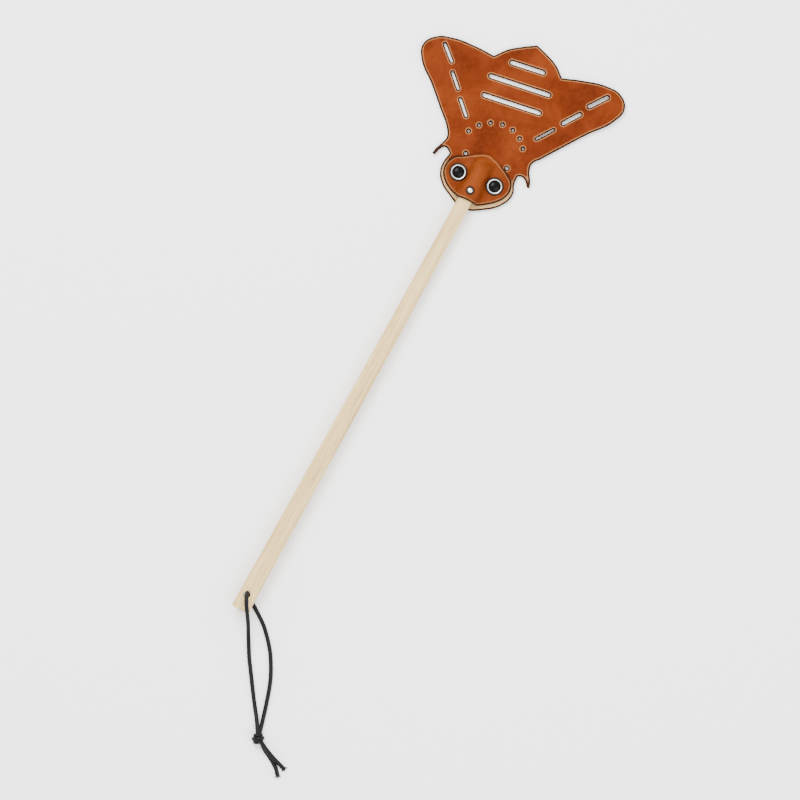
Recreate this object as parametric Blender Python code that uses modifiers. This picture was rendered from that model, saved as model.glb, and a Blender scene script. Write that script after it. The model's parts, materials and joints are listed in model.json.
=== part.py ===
"""Fly swatter: a turned stick, a fly-shaped leather head with a domed face, and a hanging cord.

The swatter lies flat.  +Y runs along the stick from the butt to the head, +X to its right and +Z up,
away from the leather.  Everything is laid out from the butt's centre first, and an empty then moves
the whole of it so that the origin is under the middle of the stick and head's box.
"""
import math

import bmesh
import bpy
from mathutils import Matrix, Vector

MM = 0.001

# Clearance between pieces that touch
GAP = 0.3 * MM

# Stick
HANDLE_LENGTH = 345 * MM
BUTT_RADIUS = 6.4 * MM
NECK_RADIUS = 5.0 * MM          # where the stick enters the face
TIP_RADIUS = 3.2 * MM           # hidden end, between the two layers of leather
NECK_FROM_TIP = 24 * MM
BUTT_CHAMFER = 0.7 * MM
TIP_CHAMFER = 1.0 * MM
STICK_SIDES = 40

# Hang hole, drilled square to the face that the swatter lies on
HOLE_FROM_BUTT = 11.6 * MM
HOLE_OFFSET = -0.9 * MM         # to the left of the stick's axis
HOLE_RADIUS = 2.4 * MM
HOLE_COUNTERSINK = 1.2 * MM

# Cord
CORD_DIAMETER = 3.0 * MM
CORD_BEND = 6.0 * MM            # radius of the cord's middle where it leaves the hole
CORD_REACH = 7.0 * MM           # from the hole's axis to the bend piece's end under the stick
BEND_IN_HOLE = 0.3 * MM         # how far inside the front mouth the cord starts to bend
HOLE_SLACK = 0.55 * MM          # the cord lies against the hole's far side, nearly
FRONT_HEADING = math.radians(-60.6)
BACK_HEADING = math.radians(-34.5)
KNOT_RADIUS = 4.5 * MM
KNOT_CENTRE = Vector((53.7, -72.4, 4.5)) * MM

# Leather head, drawn in its own axes: right of the fly's middle, and towards its tail
WING_SPAN = 146.6 * MM
HEAD_LENGTH = 123.3 * MM
BODY_THICKNESS = 2.8 * MM
HEAD_TURN = math.radians(4.95)  # the fly's middle, counterclockwise from the stick
HEAD_SKEW = math.radians(5.58)  # how far the cut is out of square
RIVET_IN_HEAD = (-2.0, -64.2)
FACE_SHIFT = -1.4 * MM          # the face is cut this much to the left of the wings' middle
FACE_SHIFT_FROM = -30.0         # the shift comes in between these two lines
FACE_SHIFT_FULL = -45.0
FLEX_LINE = -33.0               # where the leather bends, just past the face
FLEX_GAP = 1.2 * MM             # lets the two flat ends turn past each other
SLOT_WIDTH = 2.5 * MM
DOT_RADIUS = 0.9 * MM
BROW_RADIUS = 1.1 * MM

# Face flap, over the stick
FLAP_THICKNESS = 2.0 * MM
FLAP_SLOPE = math.radians(62)
FLAP_FILLET = 1.6 * MM
FLAP_FALL = 11 * MM             # length of the brow, from the stick's end down to the leather
FLAP_CELL = 1.3 * MM            # across the stick, where the dome is steep
FLAP_ROW = 2.1 * MM
FLAP_MARGIN = 2.0 * MM

# Eyes: two eyelets that clamp both layers, one on each side of the stick
EYE_FLAT_MARGIN = 2.0 * MM      # from the eyelet's rim to where the face rises
EYE_FROM_TIP = 6.8 * MM
EYE_SPACING = 26.9 * MM
EYE_TURN = math.radians(7.0)
EYE_HOLE_RADIUS = 4.05 * MM
EYE_WALL = 0.5 * MM
EYE_RIM_WIDTH = 1.9 * MM        # from the hole to the rim's outside
EYE_RIM_HEIGHT = 1.15 * MM
EYE_CLINCH_WIDTH = 0.95 * MM    # from the barrel's outside
EYE_WASHER_WIDTH = 1.95 * MM    # from the barrel's outside
PUPIL_BASE = 3.2 * MM           # black domed discs inside the eyelets
PUPIL_EDGE = 0.7 * MM
PUPIL_HEIGHT = 2.1 * MM

# Nose rivet, through face, stick and body
RIVET_FROM_TIP = 16.1 * MM
RIVET_RADIUS = 1.25 * MM
RIVET_HEAD_RADIUS = 2.5 * MM
RIVET_HEAD_HEIGHT = 1.4 * MM
RIVET_CLINCH_RADIUS = 2.1 * MM
BURR_RADIUS = 3.2 * MM

# Washers and clinched ends, sunk into the back of the body leather
WASHER_THICKNESS = 0.5 * MM
CLINCH_THICKNESS = 0.4 * MM
CLINCH_INSET = 0.1 * MM
SINK_DEPTH = CLINCH_INSET + CLINCH_THICKNESS + GAP + WASHER_THICKNESS + GAP

ROUND_SIDES = 32
CURVE_STEPS = 5
PAST = 1.0 * MM                 # how far a cutter runs past the face that it cuts
FACE_CUT_HEIGHT = 30 * MM       # over the top of the face and its rivet
KEPT_BLOCK = (400 * MM, 200 * MM, 20 * MM)

# The fly's outline from tail tip to chin: right or left, tailward, and whether it is a corner.
# The two halves are not quite alike.
DRAWN_HALF_SPAN = 73.3
DRAWN_LENGTH = 123.3
RIGHT_TAIL_AND_WING = [
    (0.0, 46.7, True),
    (9.3, 42.3, False),
    (17.8, 37.3, False),
    (24.7, 30.3, True),
    (38.0, 33.1, False),
    (56.0, 34.6, False),
    (67.0, 31.9, False),
    (73.3, 23.5, False),
    (70.2, 13.2, False),
    (56.1, -2.1, False),
    (44.5, -15.5, False),
    (34.6, -27.2, False),
]
LEFT_TAIL_AND_WING = [
    (0.0, 46.7, True),
    (9.3, 42.3, False),
    (17.8, 37.3, False),
    (24.7, 30.3, True),
    (38.0, 32.5, False),
    (56.0, 33.3, False),
    (66.8, 30.6, False),
    (73.1, 22.9, False),
    (70.2, 13.2, False),
    (56.1, -2.1, False),
    (44.5, -15.5, False),
    (34.6, -27.2, False),
]
RIGHT_HORN = [
    (30.0, -33.2, False),
    (31.4, -38.8, False),
    (35.1, -45.0, False),
    (36.3, -49.4, True),
    (34.3, -49.1, True),
    (31.7, -45.4, False),
    (28.3, -43.4, False),
    (25.4, -44.1, True),
]
LEFT_HORN = [
    (31.6, -33.2, False),
    (32.6, -38.2, False),
    (34.4, -42.9, False),
    (35.3, -46.9, True),
    (33.3, -47.6, True),
    (31.8, -43.0, False),
    (29.3, -40.3, False),
    (24.2, -43.4, True),
]
RIGHT_FACE = [
    (25.6, -49.8, False),
    (27.6, -56.5, False),
    (24.4, -65.4, False),
    (13.5, -73.4, False),
    (0.0, -77.2, False),
]
LEFT_FACE = [
    (25.8, -51.0, False),
    (25.2, -57.4, False),
    (21.3, -64.2, False),
    (12.9, -70.9, False),
    (0.0, -77.2, False),
]

# The face flap's outline, from brow to chin
RIGHT_FLAP = [
    (0.0, -36.0, False),
    (6.7, -38.1, False),
    (12.5, -41.1, False),
    (18.9, -45.3, False),
    (22.9, -49.0, False),
    (24.9, -54.5, False),
    (24.2, -59.4, False),
    (20.5, -64.7, False),
    (13.0, -69.9, False),
    (7.5, -72.6, True),
    (0.0, -71.2, False),
]
LEFT_FLAP = [
    (0.0, -36.0, False),
    (8.6, -38.7, False),
    (14.5, -41.8, False),
    (19.8, -44.3, False),
    (23.2, -49.4, False),
    (23.6, -55.5, False),
    (21.0, -60.9, False),
    (15.4, -66.3, False),
    (7.0, -70.7, True),
    (0.0, -71.2, False),
]

# Cuts in the tail and wings, each from end to end
TAIL_SLOTS = [(11.3, 29.8), (20.9, 16.3), (19.9, 2.4)]
WING_DASHES = [
    ((50.0, 17.5), (59.0, 27.3)),
    ((38.2, 0.8), (46.3, 10.3)),
    ((25.5, -15.4), (33.9, -5.6)),
]
LEFT_DASH_WIDTHS = (1.6 * MM, 1.6 * MM, 1.6 * MM)
RIGHT_DASH_WIDTHS = (2.2 * MM, 2.2 * MM, 1.3 * MM)
DOT_ARC_CENTRE = (0.0, -35.6)
DOT_ARC_RADIUS = 22.5
DOT_ARC_ANGLES = (-61, -41, -21, 0, 21, 41, 61)
BROW_HOLES = [(-14.3, -40.1), (16.1, -41.0)]

# The cord's routes, from the hole to the knot and from the knot to the cut ends
FRONT_ROUTE = [
    (5.2, 1.2, 19.6), (9.5, -5.7, 12.8), (13.3, -12.7, 6.4), (17.4, -19.9, 2.5),
    (21.6, -26.9, 1.5), (26.6, -34.0, 1.5), (31.5, -41.0, 1.5), (36.3, -47.8, 1.5),
    (41.2, -54.5, 1.6), (46.2, -61.0, 3.5),
]
BACK_ROUTE = [
    (7.0, 6.2, 1.5), (10.6, 3.9, 1.5), (14.2, 1.5, 1.5), (17.8, -1.1, 1.5), (21.2, -4.0, 1.5),
    (27.1, -10.1, 1.5), (32.5, -16.7, 1.5), (36.9, -23.7, 1.5), (41.0, -31.5, 1.5),
    (44.0, -39.0, 1.5), (46.6, -47.0, 1.5), (48.8, -54.2, 1.5), (50.8, -61.2, 1.7),
]
TAIL_A_ROUTE = [
    (61.6, -75.9, 5.7), (66.4, -78.0, 4.8), (70.8, -79.6, 4.0), (75.0, -81.0, 2.4), (78.9, -82.3, 1.5),
]
TAIL_B_ROUTE = [
    (60.9, -77.0, 2.0), (65.8, -79.6, 1.5), (70.2, -82.0, 1.5), (74.4, -84.9, 1.5), (77.8, -88.6, 1.5),
]
FRONT_ENTRY = Vector((-0.52, 0.80, 0.32))
BACK_ENTRY = Vector((-0.23, 0.93, -0.31))
TAIL_A_LEAVE = Vector((0.89, -0.34, 0.33))
TAIL_B_LEAVE = Vector((0.89, -0.36, -0.33))
CORD_POINT_STEP = 2.0           # in cord diameters


# Derived places -----------------------------------------------------------------------------------
CORD_RADIUS = CORD_DIAMETER / 2
NECK_Y = HANDLE_LENGTH - NECK_FROM_TIP
RIVET_Y = HANDLE_LENGTH - RIVET_FROM_TIP
EYE_Y = HANDLE_LENGTH - EYE_FROM_TIP
FLAP_BASE = BODY_THICKNESS + GAP
EYE_BARREL_RADIUS = EYE_HOLE_RADIUS + EYE_WALL
EYE_RIM_RADIUS = EYE_HOLE_RADIUS + EYE_RIM_WIDTH
EYE_CLINCH_RADIUS = EYE_BARREL_RADIUS + EYE_CLINCH_WIDTH
EYE_WASHER_RADIUS = EYE_BARREL_RADIUS + EYE_WASHER_WIDTH


def stick_radius(y):
    """Radius of the stick at a distance from its butt."""
    if y < NECK_Y:
        return BUTT_RADIUS + (NECK_RADIUS - BUTT_RADIUS) * y / NECK_Y
    return NECK_RADIUS + (TIP_RADIUS - NECK_RADIUS) * (y - NECK_Y) / NECK_FROM_TIP


# The stick's butt rests on the cord that passes under it, and its neck on the body leather
HOLE_AXIS_Z = CORD_DIAMETER + GAP + stick_radius(HOLE_FROM_BUTT)
NECK_AXIS_Z = BODY_THICKNESS + GAP + NECK_RADIUS
STICK_PITCH = math.atan2(NECK_AXIS_Z - HOLE_AXIS_Z, NECK_Y - HOLE_FROM_BUTT)


def stick_axis_z(y):
    """Height of the stick's axis at a distance from its butt."""
    return HOLE_AXIS_Z + (y - HOLE_FROM_BUTT) * math.tan(STICK_PITCH)


def head_point(right, tailward):
    """Where a point of the fly's own drawing, in millimetres, lies in the swatter's plane."""
    shifted = (FACE_SHIFT_FROM - tailward) / (FACE_SHIFT_FROM - FACE_SHIFT_FULL)
    shift = FACE_SHIFT * min(max(shifted, 0.0), 1.0)
    across = (right - RIVET_IN_HEAD[0]) * WING_SPAN / (2 * DRAWN_HALF_SPAN) + shift
    along = (tailward - RIVET_IN_HEAD[1]) * HEAD_LENGTH / DRAWN_LENGTH
    side = HEAD_TURN + HEAD_SKEW
    x = across * math.cos(side) - along * math.sin(HEAD_TURN)
    y = across * math.sin(side) + along * math.cos(HEAD_TURN)
    return Vector((x, RIVET_Y + y))


def eye_centre(side):
    """Centre of an eye: side is -1 for the left one and 1 for the right one."""
    reach = side * EYE_SPACING / 2
    return Vector((reach * math.cos(EYE_TURN), EYE_Y + reach * math.sin(EYE_TURN)))


# Blender helpers ----------------------------------------------------------------------------------
def clear_scene():
    """Remove what the scene starts with."""
    for item in list(bpy.data.objects):
        bpy.data.objects.remove(item, do_unlink=True)


def new_collection(name):
    """Make a collection in the scene."""
    collection = bpy.data.collections.new(name)
    bpy.context.scene.collection.children.link(collection)
    return collection


def make_material(name, colour, roughness, metallic=0.0):
    """Make a Principled material."""
    material = bpy.data.materials.new(name)
    material.use_nodes = True
    shader = material.node_tree.nodes["Principled BSDF"]
    shader.inputs["Base Color"].default_value = (*colour, 1.0)
    shader.inputs["Roughness"].default_value = roughness
    shader.inputs["Metallic"].default_value = metallic
    return material


def add_object(name, data, collection, parent=None, material=None):
    """Put a mesh or curve into a collection as a named object."""
    item = bpy.data.objects.new(name, data)
    collection.objects.link(item)
    item.parent = parent
    if material is not None:
        data.materials.append(material)
    return item


def to_mesh_object(curve_object, collection):
    """Replace a curve object by its mesh, with the caps welded to the sides."""
    bpy.context.view_layer.update()
    graph = bpy.context.evaluated_depsgraph_get()
    mesh = bpy.data.meshes.new_from_object(curve_object.evaluated_get(graph))
    shell = bmesh.new()
    shell.from_mesh(mesh)
    bmesh.ops.remove_doubles(shell, verts=shell.verts, dist=0.000005)
    bmesh.ops.recalc_face_normals(shell, faces=shell.faces)
    shell.to_mesh(mesh)
    shell.free()
    name = curve_object.name
    place = curve_object.matrix_world.copy()
    bpy.data.objects.remove(curve_object, do_unlink=True)
    solid = add_object(name, mesh, collection)
    solid.matrix_world = place
    return solid


def plate(name, points, low, high, collection):
    """Extrude a closed flat outline of (x, y, corner) points between two heights."""
    curve = bpy.data.curves.new(name, "CURVE")
    curve.dimensions = "2D"
    curve.fill_mode = "BOTH"
    curve.extrude = (high - low) / 2
    curve.resolution_u = CURVE_STEPS
    spline = curve.splines.new("BEZIER")
    spline.bezier_points.add(len(points) - 1)
    spline.use_cyclic_u = True
    for knot, (x, y, corner) in zip(spline.bezier_points, points):
        knot.co = (x, y, 0.0)
        kind = "VECTOR" if corner else "AUTO"
        knot.handle_left_type = kind
        knot.handle_right_type = kind
    outline = add_object(name, curve, collection)
    outline.location.z = (low + high) / 2
    return to_mesh_object(outline, collection)


def head_plate(name, right_half, left_half, low, high, collection):
    """A plate from the two halves of an outline, which meet on the fly's own middle."""
    both = list(right_half)
    both += [(-left, tailward, corner) for left, tailward, corner in reversed(left_half[1:-1])]
    points = []
    for right, tailward, corner in both:
        place = head_point(right, tailward)
        points.append((place.x, place.y, corner))
    return plate(name, points, low, high, collection)


def turned(name, profile, closed, place, collection, parent, material, sides=ROUND_SIDES):
    """Turn a profile of (radius, height) about Z.  An open one starts and ends on the axis."""
    mesh = bpy.data.meshes.new(name)
    edges = [(i, i + 1) for i in range(len(profile) - 1)]
    if closed:
        edges.append((len(profile) - 1, 0))
    mesh.from_pydata([(radius, 0.0, height) for radius, height in profile], edges, [])
    item = add_object(name, mesh, collection, parent, material)
    item.location = place
    screw = item.modifiers.new("turn", "SCREW")
    screw.axis = "Z"
    screw.steps = sides
    screw.render_steps = sides
    screw.use_merge_vertices = True
    screw.merge_threshold = 0.000001
    screw.use_smooth_shade = True
    return item


def cutter_cylinder(name, radius, low, high, place, collection):
    """A round cutter along Z."""
    return cutter_cone(name, radius, radius, low, high, place, collection)


def cutter_cone(name, low_radius, high_radius, low, high, place, collection):
    """A tapered round cutter along Z."""
    mesh = bpy.data.meshes.new(name)
    shape = bmesh.new()
    bmesh.ops.create_cone(shape, cap_ends=True, segments=ROUND_SIDES, radius1=low_radius,
                          radius2=high_radius, depth=high - low)
    shape.to_mesh(mesh)
    shape.free()
    item = add_object(name, mesh, collection)
    item.location = (place[0], place[1], (low + high) / 2)
    return hide_cutter(item)


def cutter_slot(name, start, end, width, collection):
    """A cutter for a slot with round ends, right through the body leather."""
    along = (end - start).normalized()
    side = Vector((-along.y, along.x))
    points = []
    for centre, outward in ((end, along), (start, -along)):
        turn_side = side if outward == -along else -side
        for step in range(7):
            angle = math.pi * step / 6
            offset = turn_side * math.cos(angle) + outward * math.sin(angle)
            place = centre + offset * width / 2
            points.append((place.x, place.y, True))
    return hide_cutter(plate(name, points, -PAST, BODY_THICKNESS + PAST, collection))


def cutter_box(name, centre, size, turn, collection):
    """A box turned about Z, used to keep one side of a sheet."""
    mesh = bpy.data.meshes.new(name)
    shape = bmesh.new()
    bmesh.ops.create_cube(shape, size=1.0, matrix=Matrix.Diagonal((*size, 1.0)))
    shape.to_mesh(mesh)
    shape.free()
    item = add_object(name, mesh, collection)
    item.location = centre
    item.rotation_euler.z = turn
    return hide_cutter(item)


def hide_cutter(item):
    """Mark an object as a cutter."""
    item.hide_render = True
    item.display_type = "WIRE"
    return item


def boolean(item, operation, tool):
    """Cut or keep with a tool."""
    step = item.modifiers.new(tool.name, "BOOLEAN")
    step.operation = operation
    step.solver = "EXACT"
    step.object = tool


def smooth(item, degrees=35):
    """Shade a mesh smooth apart from its sharp edges."""
    item.data.shade_smooth()
    item.data.set_sharp_from_angle(angle=math.radians(degrees))


# Sub-parts ----------------------------------------------------------------------------------------
def make_handle(parts, cutters, root, wood):
    """The tapered stick with its hang hole and rivet hole."""
    profile = [
        (0.0, HANDLE_LENGTH),
        (TIP_RADIUS - TIP_CHAMFER, HANDLE_LENGTH),
        (TIP_RADIUS, HANDLE_LENGTH - TIP_CHAMFER),
        (NECK_RADIUS, NECK_Y),
        (BUTT_RADIUS, BUTT_CHAMFER),
        (BUTT_RADIUS - BUTT_CHAMFER, 0.0),
        (0.0, 0.0),
    ]
    butt = (0, 0, stick_axis_z(0))
    handle = turned("handle", profile, False, butt, parts, root, wood, STICK_SIDES)
    handle.rotation_euler = (STICK_PITCH - math.pi / 2, 0, 0)
    hole = (HOLE_OFFSET, HOLE_FROM_BUTT)
    top = HOLE_AXIS_Z + stick_radius(HOLE_FROM_BUTT)
    bottom = HOLE_AXIS_Z - stick_radius(HOLE_FROM_BUTT)
    wide = HOLE_RADIUS + HOLE_COUNTERSINK + PAST
    high_mouth = (top - HOLE_COUNTERSINK, top + PAST)
    low_mouth = (bottom - PAST, bottom + HOLE_COUNTERSINK)
    tools = [
        cutter_cylinder("cut_hang_hole", HOLE_RADIUS, bottom - PAST, top + PAST, hole, cutters),
        cutter_cone("cut_front_mouth", HOLE_RADIUS, wide, *high_mouth, hole, cutters),
        cutter_cone("cut_back_mouth", wide, HOLE_RADIUS, *low_mouth, hole, cutters),
        cutter_cylinder("cut_stick_rivet", RIVET_RADIUS + GAP, 0, top + PAST, (0, RIVET_Y), cutters),
    ]
    for tool in tools:
        boolean(handle, "DIFFERENCE", tool)
    return handle


def through_hole(name, radius, place, cutters):
    """A round cutter right through the body leather."""
    return cutter_cylinder(name, radius, -PAST, BODY_THICKNESS + PAST, place, cutters)


def seat(name, radius, place, cutters):
    """A round cutter that sinks a washer into the back of the body leather."""
    return cutter_cylinder(name, radius, -PAST, SINK_DEPTH, place, cutters)


def body_cutters(cutters):
    """Every slot, dash and dot that is punched through the fly's tail and wings."""
    tools = []
    for number, (reach, tailward) in enumerate(TAIL_SLOTS):
        start = head_point(-reach, tailward)
        end = head_point(reach, tailward)
        tools.append(cutter_slot("cut_tail_slot_%d" % number, start, end, SLOT_WIDTH, cutters))
    for number, (inner, outer) in enumerate(WING_DASHES):
        for name, side, widths in (("left", -1, LEFT_DASH_WIDTHS), ("right", 1, RIGHT_DASH_WIDTHS)):
            start = head_point(side * inner[0], inner[1])
            end = head_point(side * outer[0], outer[1])
            cut = "cut_dash_%s_%d" % (name, number)
            tools.append(cutter_slot(cut, start, end, widths[number], cutters))
    for number, degrees in enumerate(DOT_ARC_ANGLES):
        angle = math.radians(degrees)
        place = head_point(DOT_ARC_CENTRE[0] + DOT_ARC_RADIUS * math.sin(angle),
                           DOT_ARC_CENTRE[1] + DOT_ARC_RADIUS * math.cos(angle))
        tools.append(through_hole("cut_dot_%d" % number, DOT_RADIUS, place, cutters))
    return tools


def make_body(parts, cutters, root, flex, leather):
    """The fly-shaped sheet, in two lengths that meet at the line where it flexes."""
    side = HEAD_TURN + HEAD_SKEW
    line = head_point(0, FLEX_LINE)
    normal = Vector((-math.sin(side), math.cos(side)))
    width, depth, height = KEPT_BLOCK
    right = RIGHT_TAIL_AND_WING + RIGHT_HORN + RIGHT_FACE
    left = LEFT_TAIL_AND_WING + LEFT_HORN + LEFT_FACE
    halves = []
    for name, sign in (("body_leather_wings", 1), ("body_leather_back", -1)):
        sheet = head_plate(name, right, left, 0, BODY_THICKNESS, parts)
        sheet.data.materials.append(leather)
        centre = line + normal * sign * (FLEX_GAP + depth) / 2
        keep = cutter_box("keep_" + name, (centre.x, centre.y, BODY_THICKNESS / 2),
                          (width, depth, height), side, cutters)
        boolean(sheet, "INTERSECT", keep)
        halves.append(sheet)
    wings, back = halves
    for tool in body_cutters(cutters):
        boolean(wings, "DIFFERENCE", tool)
    for number, brow in enumerate(BROW_HOLES):
        tool = through_hole("cut_brow_%d" % number, BROW_RADIUS, head_point(*brow), cutters)
        boolean(back, "DIFFERENCE", tool)
    for name, place in (("left", eye_centre(-1)), ("right", eye_centre(1))):
        hole = through_hole("cut_eye_" + name, EYE_BARREL_RADIUS + GAP, place, cutters)
        sink = seat("cut_eye_seat_" + name, EYE_WASHER_RADIUS + GAP, place, cutters)
        boolean(back, "DIFFERENCE", hole)
        boolean(back, "DIFFERENCE", sink)
    nose = (0, RIVET_Y)
    boolean(back, "DIFFERENCE", through_hole("cut_body_rivet", RIVET_RADIUS + GAP, nose, cutters))
    boolean(back, "DIFFERENCE", seat("cut_burr_seat", BURR_RADIUS + GAP, nose, cutters))
    back.parent = root
    wings.data.transform(Matrix.Translation(wings.location - flex.location))
    wings.location = (0, 0, 0)
    wings.parent = flex
    return wings, back


def dome_height(x, y, outward):
    """Height of the face over its flat rim, where it is pushed up by the stick.

    outward is how far the surface stands off the stick: the clearance for the inside of the
    leather, and the clearance and the thickness for its outside.
    """
    on_stick = min(max(y, 0.0), HANDLE_LENGTH)
    radius = stick_radius(on_stick) + outward
    rim = FLAP_BASE + outward - GAP
    axis = stick_axis_z(on_stick) - rim
    reach = radius * math.sin(FLAP_SLOPE)
    if abs(x) < reach:
        height = axis + math.sqrt(radius * radius - x * x)
    else:
        height = axis + radius * math.cos(FLAP_SLOPE) - (abs(x) - reach) * math.tan(FLAP_SLOPE)
    height = (height + math.sqrt(height * height + FLAP_FILLET * FLAP_FILLET)) / 2
    if y > HANDLE_LENGTH:
        fall = min((y - HANDLE_LENGTH) / FLAP_FALL, 1.0)
        height *= 0.5 + 0.5 * math.cos(math.pi * fall)
    for side in (-1, 1):
        away = (Vector((x, y)) - eye_centre(side)).length
        clear = min(max((away - EYE_RIM_RADIUS - 2 * GAP) / EYE_FLAT_MARGIN, 0.0), 1.0)
        height *= clear * clear * (3 - 2 * clear)
    return height


def make_face(parts, cutters, root, leather):
    """The domed face: a slab whose two faces follow the stick under it, trimmed to its outline."""
    mesh = bpy.data.meshes.new("face_flap")
    shape = bmesh.new()
    rim = [head_point(right, tailward) for right, tailward, _ in RIGHT_FLAP]
    rim += [head_point(-left, tailward) for left, tailward, _ in LEFT_FLAP]
    half_width = max(abs(place.x) for place in rim) + FLAP_MARGIN
    low = min(place.y for place in rim) - FLAP_MARGIN
    high = max(place.y for place in rim) + FLAP_MARGIN
    columns = 2 * round(half_width / FLAP_CELL)
    rows = round((high - low) / FLAP_ROW)
    bmesh.ops.create_grid(shape, x_segments=columns, y_segments=rows, size=0.5)
    under = list(shape.faces)
    over = bmesh.ops.extrude_face_region(shape, geom=under)["geom"]
    raised = {item for item in over if isinstance(item, bmesh.types.BMVert)}
    for vert in shape.verts:
        x = vert.co.x * 2 * half_width
        y = (low + high) / 2 + vert.co.y * (high - low)
        if vert in raised:
            z = FLAP_BASE + FLAP_THICKNESS + dome_height(x, y, GAP + FLAP_THICKNESS)
        else:
            z = FLAP_BASE + dome_height(x, y, GAP)
        vert.co = (x, y, z)
    bmesh.ops.recalc_face_normals(shape, faces=shape.faces)
    shape.to_mesh(mesh)
    shape.free()
    face = add_object("face_flap", mesh, parts, root, leather)
    smooth(face, 50)
    keep = head_plate("keep_face", RIGHT_FLAP, LEFT_FLAP, 0, FACE_CUT_HEIGHT, cutters)
    hide_cutter(keep)
    boolean(face, "INTERSECT", keep)
    for name, place in (("left", eye_centre(-1)), ("right", eye_centre(1))):
        boolean(face, "DIFFERENCE", cutter_cylinder(
            "cut_face_eye_" + name, EYE_BARREL_RADIUS + GAP, 0, FACE_CUT_HEIGHT, place, cutters))
    boolean(face, "DIFFERENCE", cutter_cylinder(
        "cut_face_rivet", RIVET_RADIUS + GAP, 0, FACE_CUT_HEIGHT, (0, RIVET_Y), cutters))
    return face


def make_eyelet(name, side, parts, root, nickel):
    """An eyelet: rolled rim on the face, barrel through both layers, clinched behind the washer."""
    seat = FLAP_BASE + FLAP_THICKNESS + GAP
    barrel = EYE_BARREL_RADIUS
    rim = EYE_RIM_RADIUS
    profile = [
        (EYE_HOLE_RADIUS, seat + 0.45 * EYE_RIM_HEIGHT),
        (EYE_HOLE_RADIUS + 0.15 * (rim - EYE_HOLE_RADIUS), seat + 0.85 * EYE_RIM_HEIGHT),
        (EYE_HOLE_RADIUS + 0.45 * (rim - EYE_HOLE_RADIUS), seat + EYE_RIM_HEIGHT),
        (EYE_HOLE_RADIUS + 0.75 * (rim - EYE_HOLE_RADIUS), seat + 0.85 * EYE_RIM_HEIGHT),
        (rim - 0.08 * (rim - EYE_HOLE_RADIUS), seat + 0.5 * EYE_RIM_HEIGHT),
        (rim, seat + 0.12 * EYE_RIM_HEIGHT),
        (rim - 0.08 * (rim - EYE_HOLE_RADIUS), seat),
        (barrel, seat),
        (barrel, CLINCH_INSET + CLINCH_THICKNESS),
        (EYE_CLINCH_RADIUS, CLINCH_INSET + CLINCH_THICKNESS),
        (EYE_CLINCH_RADIUS, CLINCH_INSET),
        (barrel, CLINCH_INSET),
        (EYE_HOLE_RADIUS, CLINCH_INSET + EYE_WALL),
    ]
    place = eye_centre(side)
    return turned(name, profile, True, (place.x, place.y, 0), parts, root, nickel)


def make_pupil(name, side, parts, root, black):
    """The black domed disc that closes an eyelet."""
    radius = EYE_HOLE_RADIUS - GAP
    profile = [(0.0, PUPIL_BASE + PUPIL_HEIGHT)]
    for degrees in (20, 40, 60, 80):
        angle = math.radians(degrees)
        rise = PUPIL_EDGE + (PUPIL_HEIGHT - PUPIL_EDGE) * math.cos(angle)
        profile.append((radius * math.sin(angle), PUPIL_BASE + rise))
    profile += [(radius, PUPIL_BASE + PUPIL_EDGE), (radius, PUPIL_BASE), (0.0, PUPIL_BASE)]
    place = eye_centre(side)
    return turned(name, profile, False, (place.x, place.y, 0), parts, root, black)


def make_washer(name, inner, outer, place, parts, root, nickel):
    """A flat washer sunk into the back of the body leather."""
    high = SINK_DEPTH - GAP
    low = high - WASHER_THICKNESS
    profile = [(inner, high), (outer, high), (outer, low), (inner, low)]
    return turned(name, profile, True, (place[0], place[1], 0), parts, root, nickel)


def make_rivet(parts, root, nickel):
    """The nose rivet, with its tail spread over the burr."""
    crest = FLAP_BASE + FLAP_THICKNESS + dome_height(0, RIVET_Y, GAP + FLAP_THICKNESS)
    seat = crest + GAP
    head = RIVET_HEAD_RADIUS
    profile = [(0.0, seat + RIVET_HEAD_HEIGHT)]
    for degrees in (20, 40, 60, 78):
        angle = math.radians(degrees)
        profile.append((head * math.sin(angle), seat + RIVET_HEAD_HEIGHT * math.cos(angle)))
    profile += [
        (head, seat),
        (RIVET_RADIUS, seat),
        (RIVET_RADIUS, CLINCH_INSET + CLINCH_THICKNESS),
        (RIVET_CLINCH_RADIUS, CLINCH_INSET + CLINCH_THICKNESS),
        (RIVET_CLINCH_RADIUS, CLINCH_INSET),
        (0.0, CLINCH_INSET),
    ]
    return turned("nose_rivet", profile, False, (0, RIVET_Y, 0), parts, root, nickel)


def smooth_route(points, step):
    """Read points at even steps from the smooth curve through a route, no lower than the table."""
    first = points[0] + (points[0] - points[1])
    last = points[-1] + (points[-1] - points[-2])
    control = [first, *points, last]
    fine = []
    for before, start, end, after in zip(control, control[1:], control[2:], control[3:]):
        for part in range(20):
            t = part / 20
            square = (2 * before - 5 * start + 4 * end - after) * t ** 2
            cube = (3 * start - before - 3 * end + after) * t ** 3
            fine.append(0.5 * (2 * start + (end - before) * t + square + cube))
    fine.append(points[-1])
    total = sum((b - a).length for a, b in zip(fine, fine[1:]))
    count = max(round(total / step), 2)
    even = [fine[0]]
    walked = 0.0
    for a, b in zip(fine, fine[1:]):
        length = (b - a).length
        while len(even) < count and walked + length >= total * len(even) / count:
            share = (total * len(even) / count - walked) / length
            even.append(a.lerp(b, share))
        walked += length
    even.append(fine[-1])
    for place in even:
        place.z = max(place.z, CORD_RADIUS)
    return even


def tube(name, points, parts, parent, material):
    """A plain tube of the cord's diameter along a list of points, given relative to its parent."""
    curve = bpy.data.curves.new(name, "CURVE")
    curve.dimensions = "3D"
    curve.bevel_depth = CORD_RADIUS
    curve.bevel_resolution = 2
    curve.use_fill_caps = True
    spline = curve.splines.new("POLY")
    spline.points.add(len(points) - 1)
    for knot, place in zip(spline.points, points):
        knot.co = (*(place - parent.location), 1.0)
    return add_object(name, curve, parts, parent, material)


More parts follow.
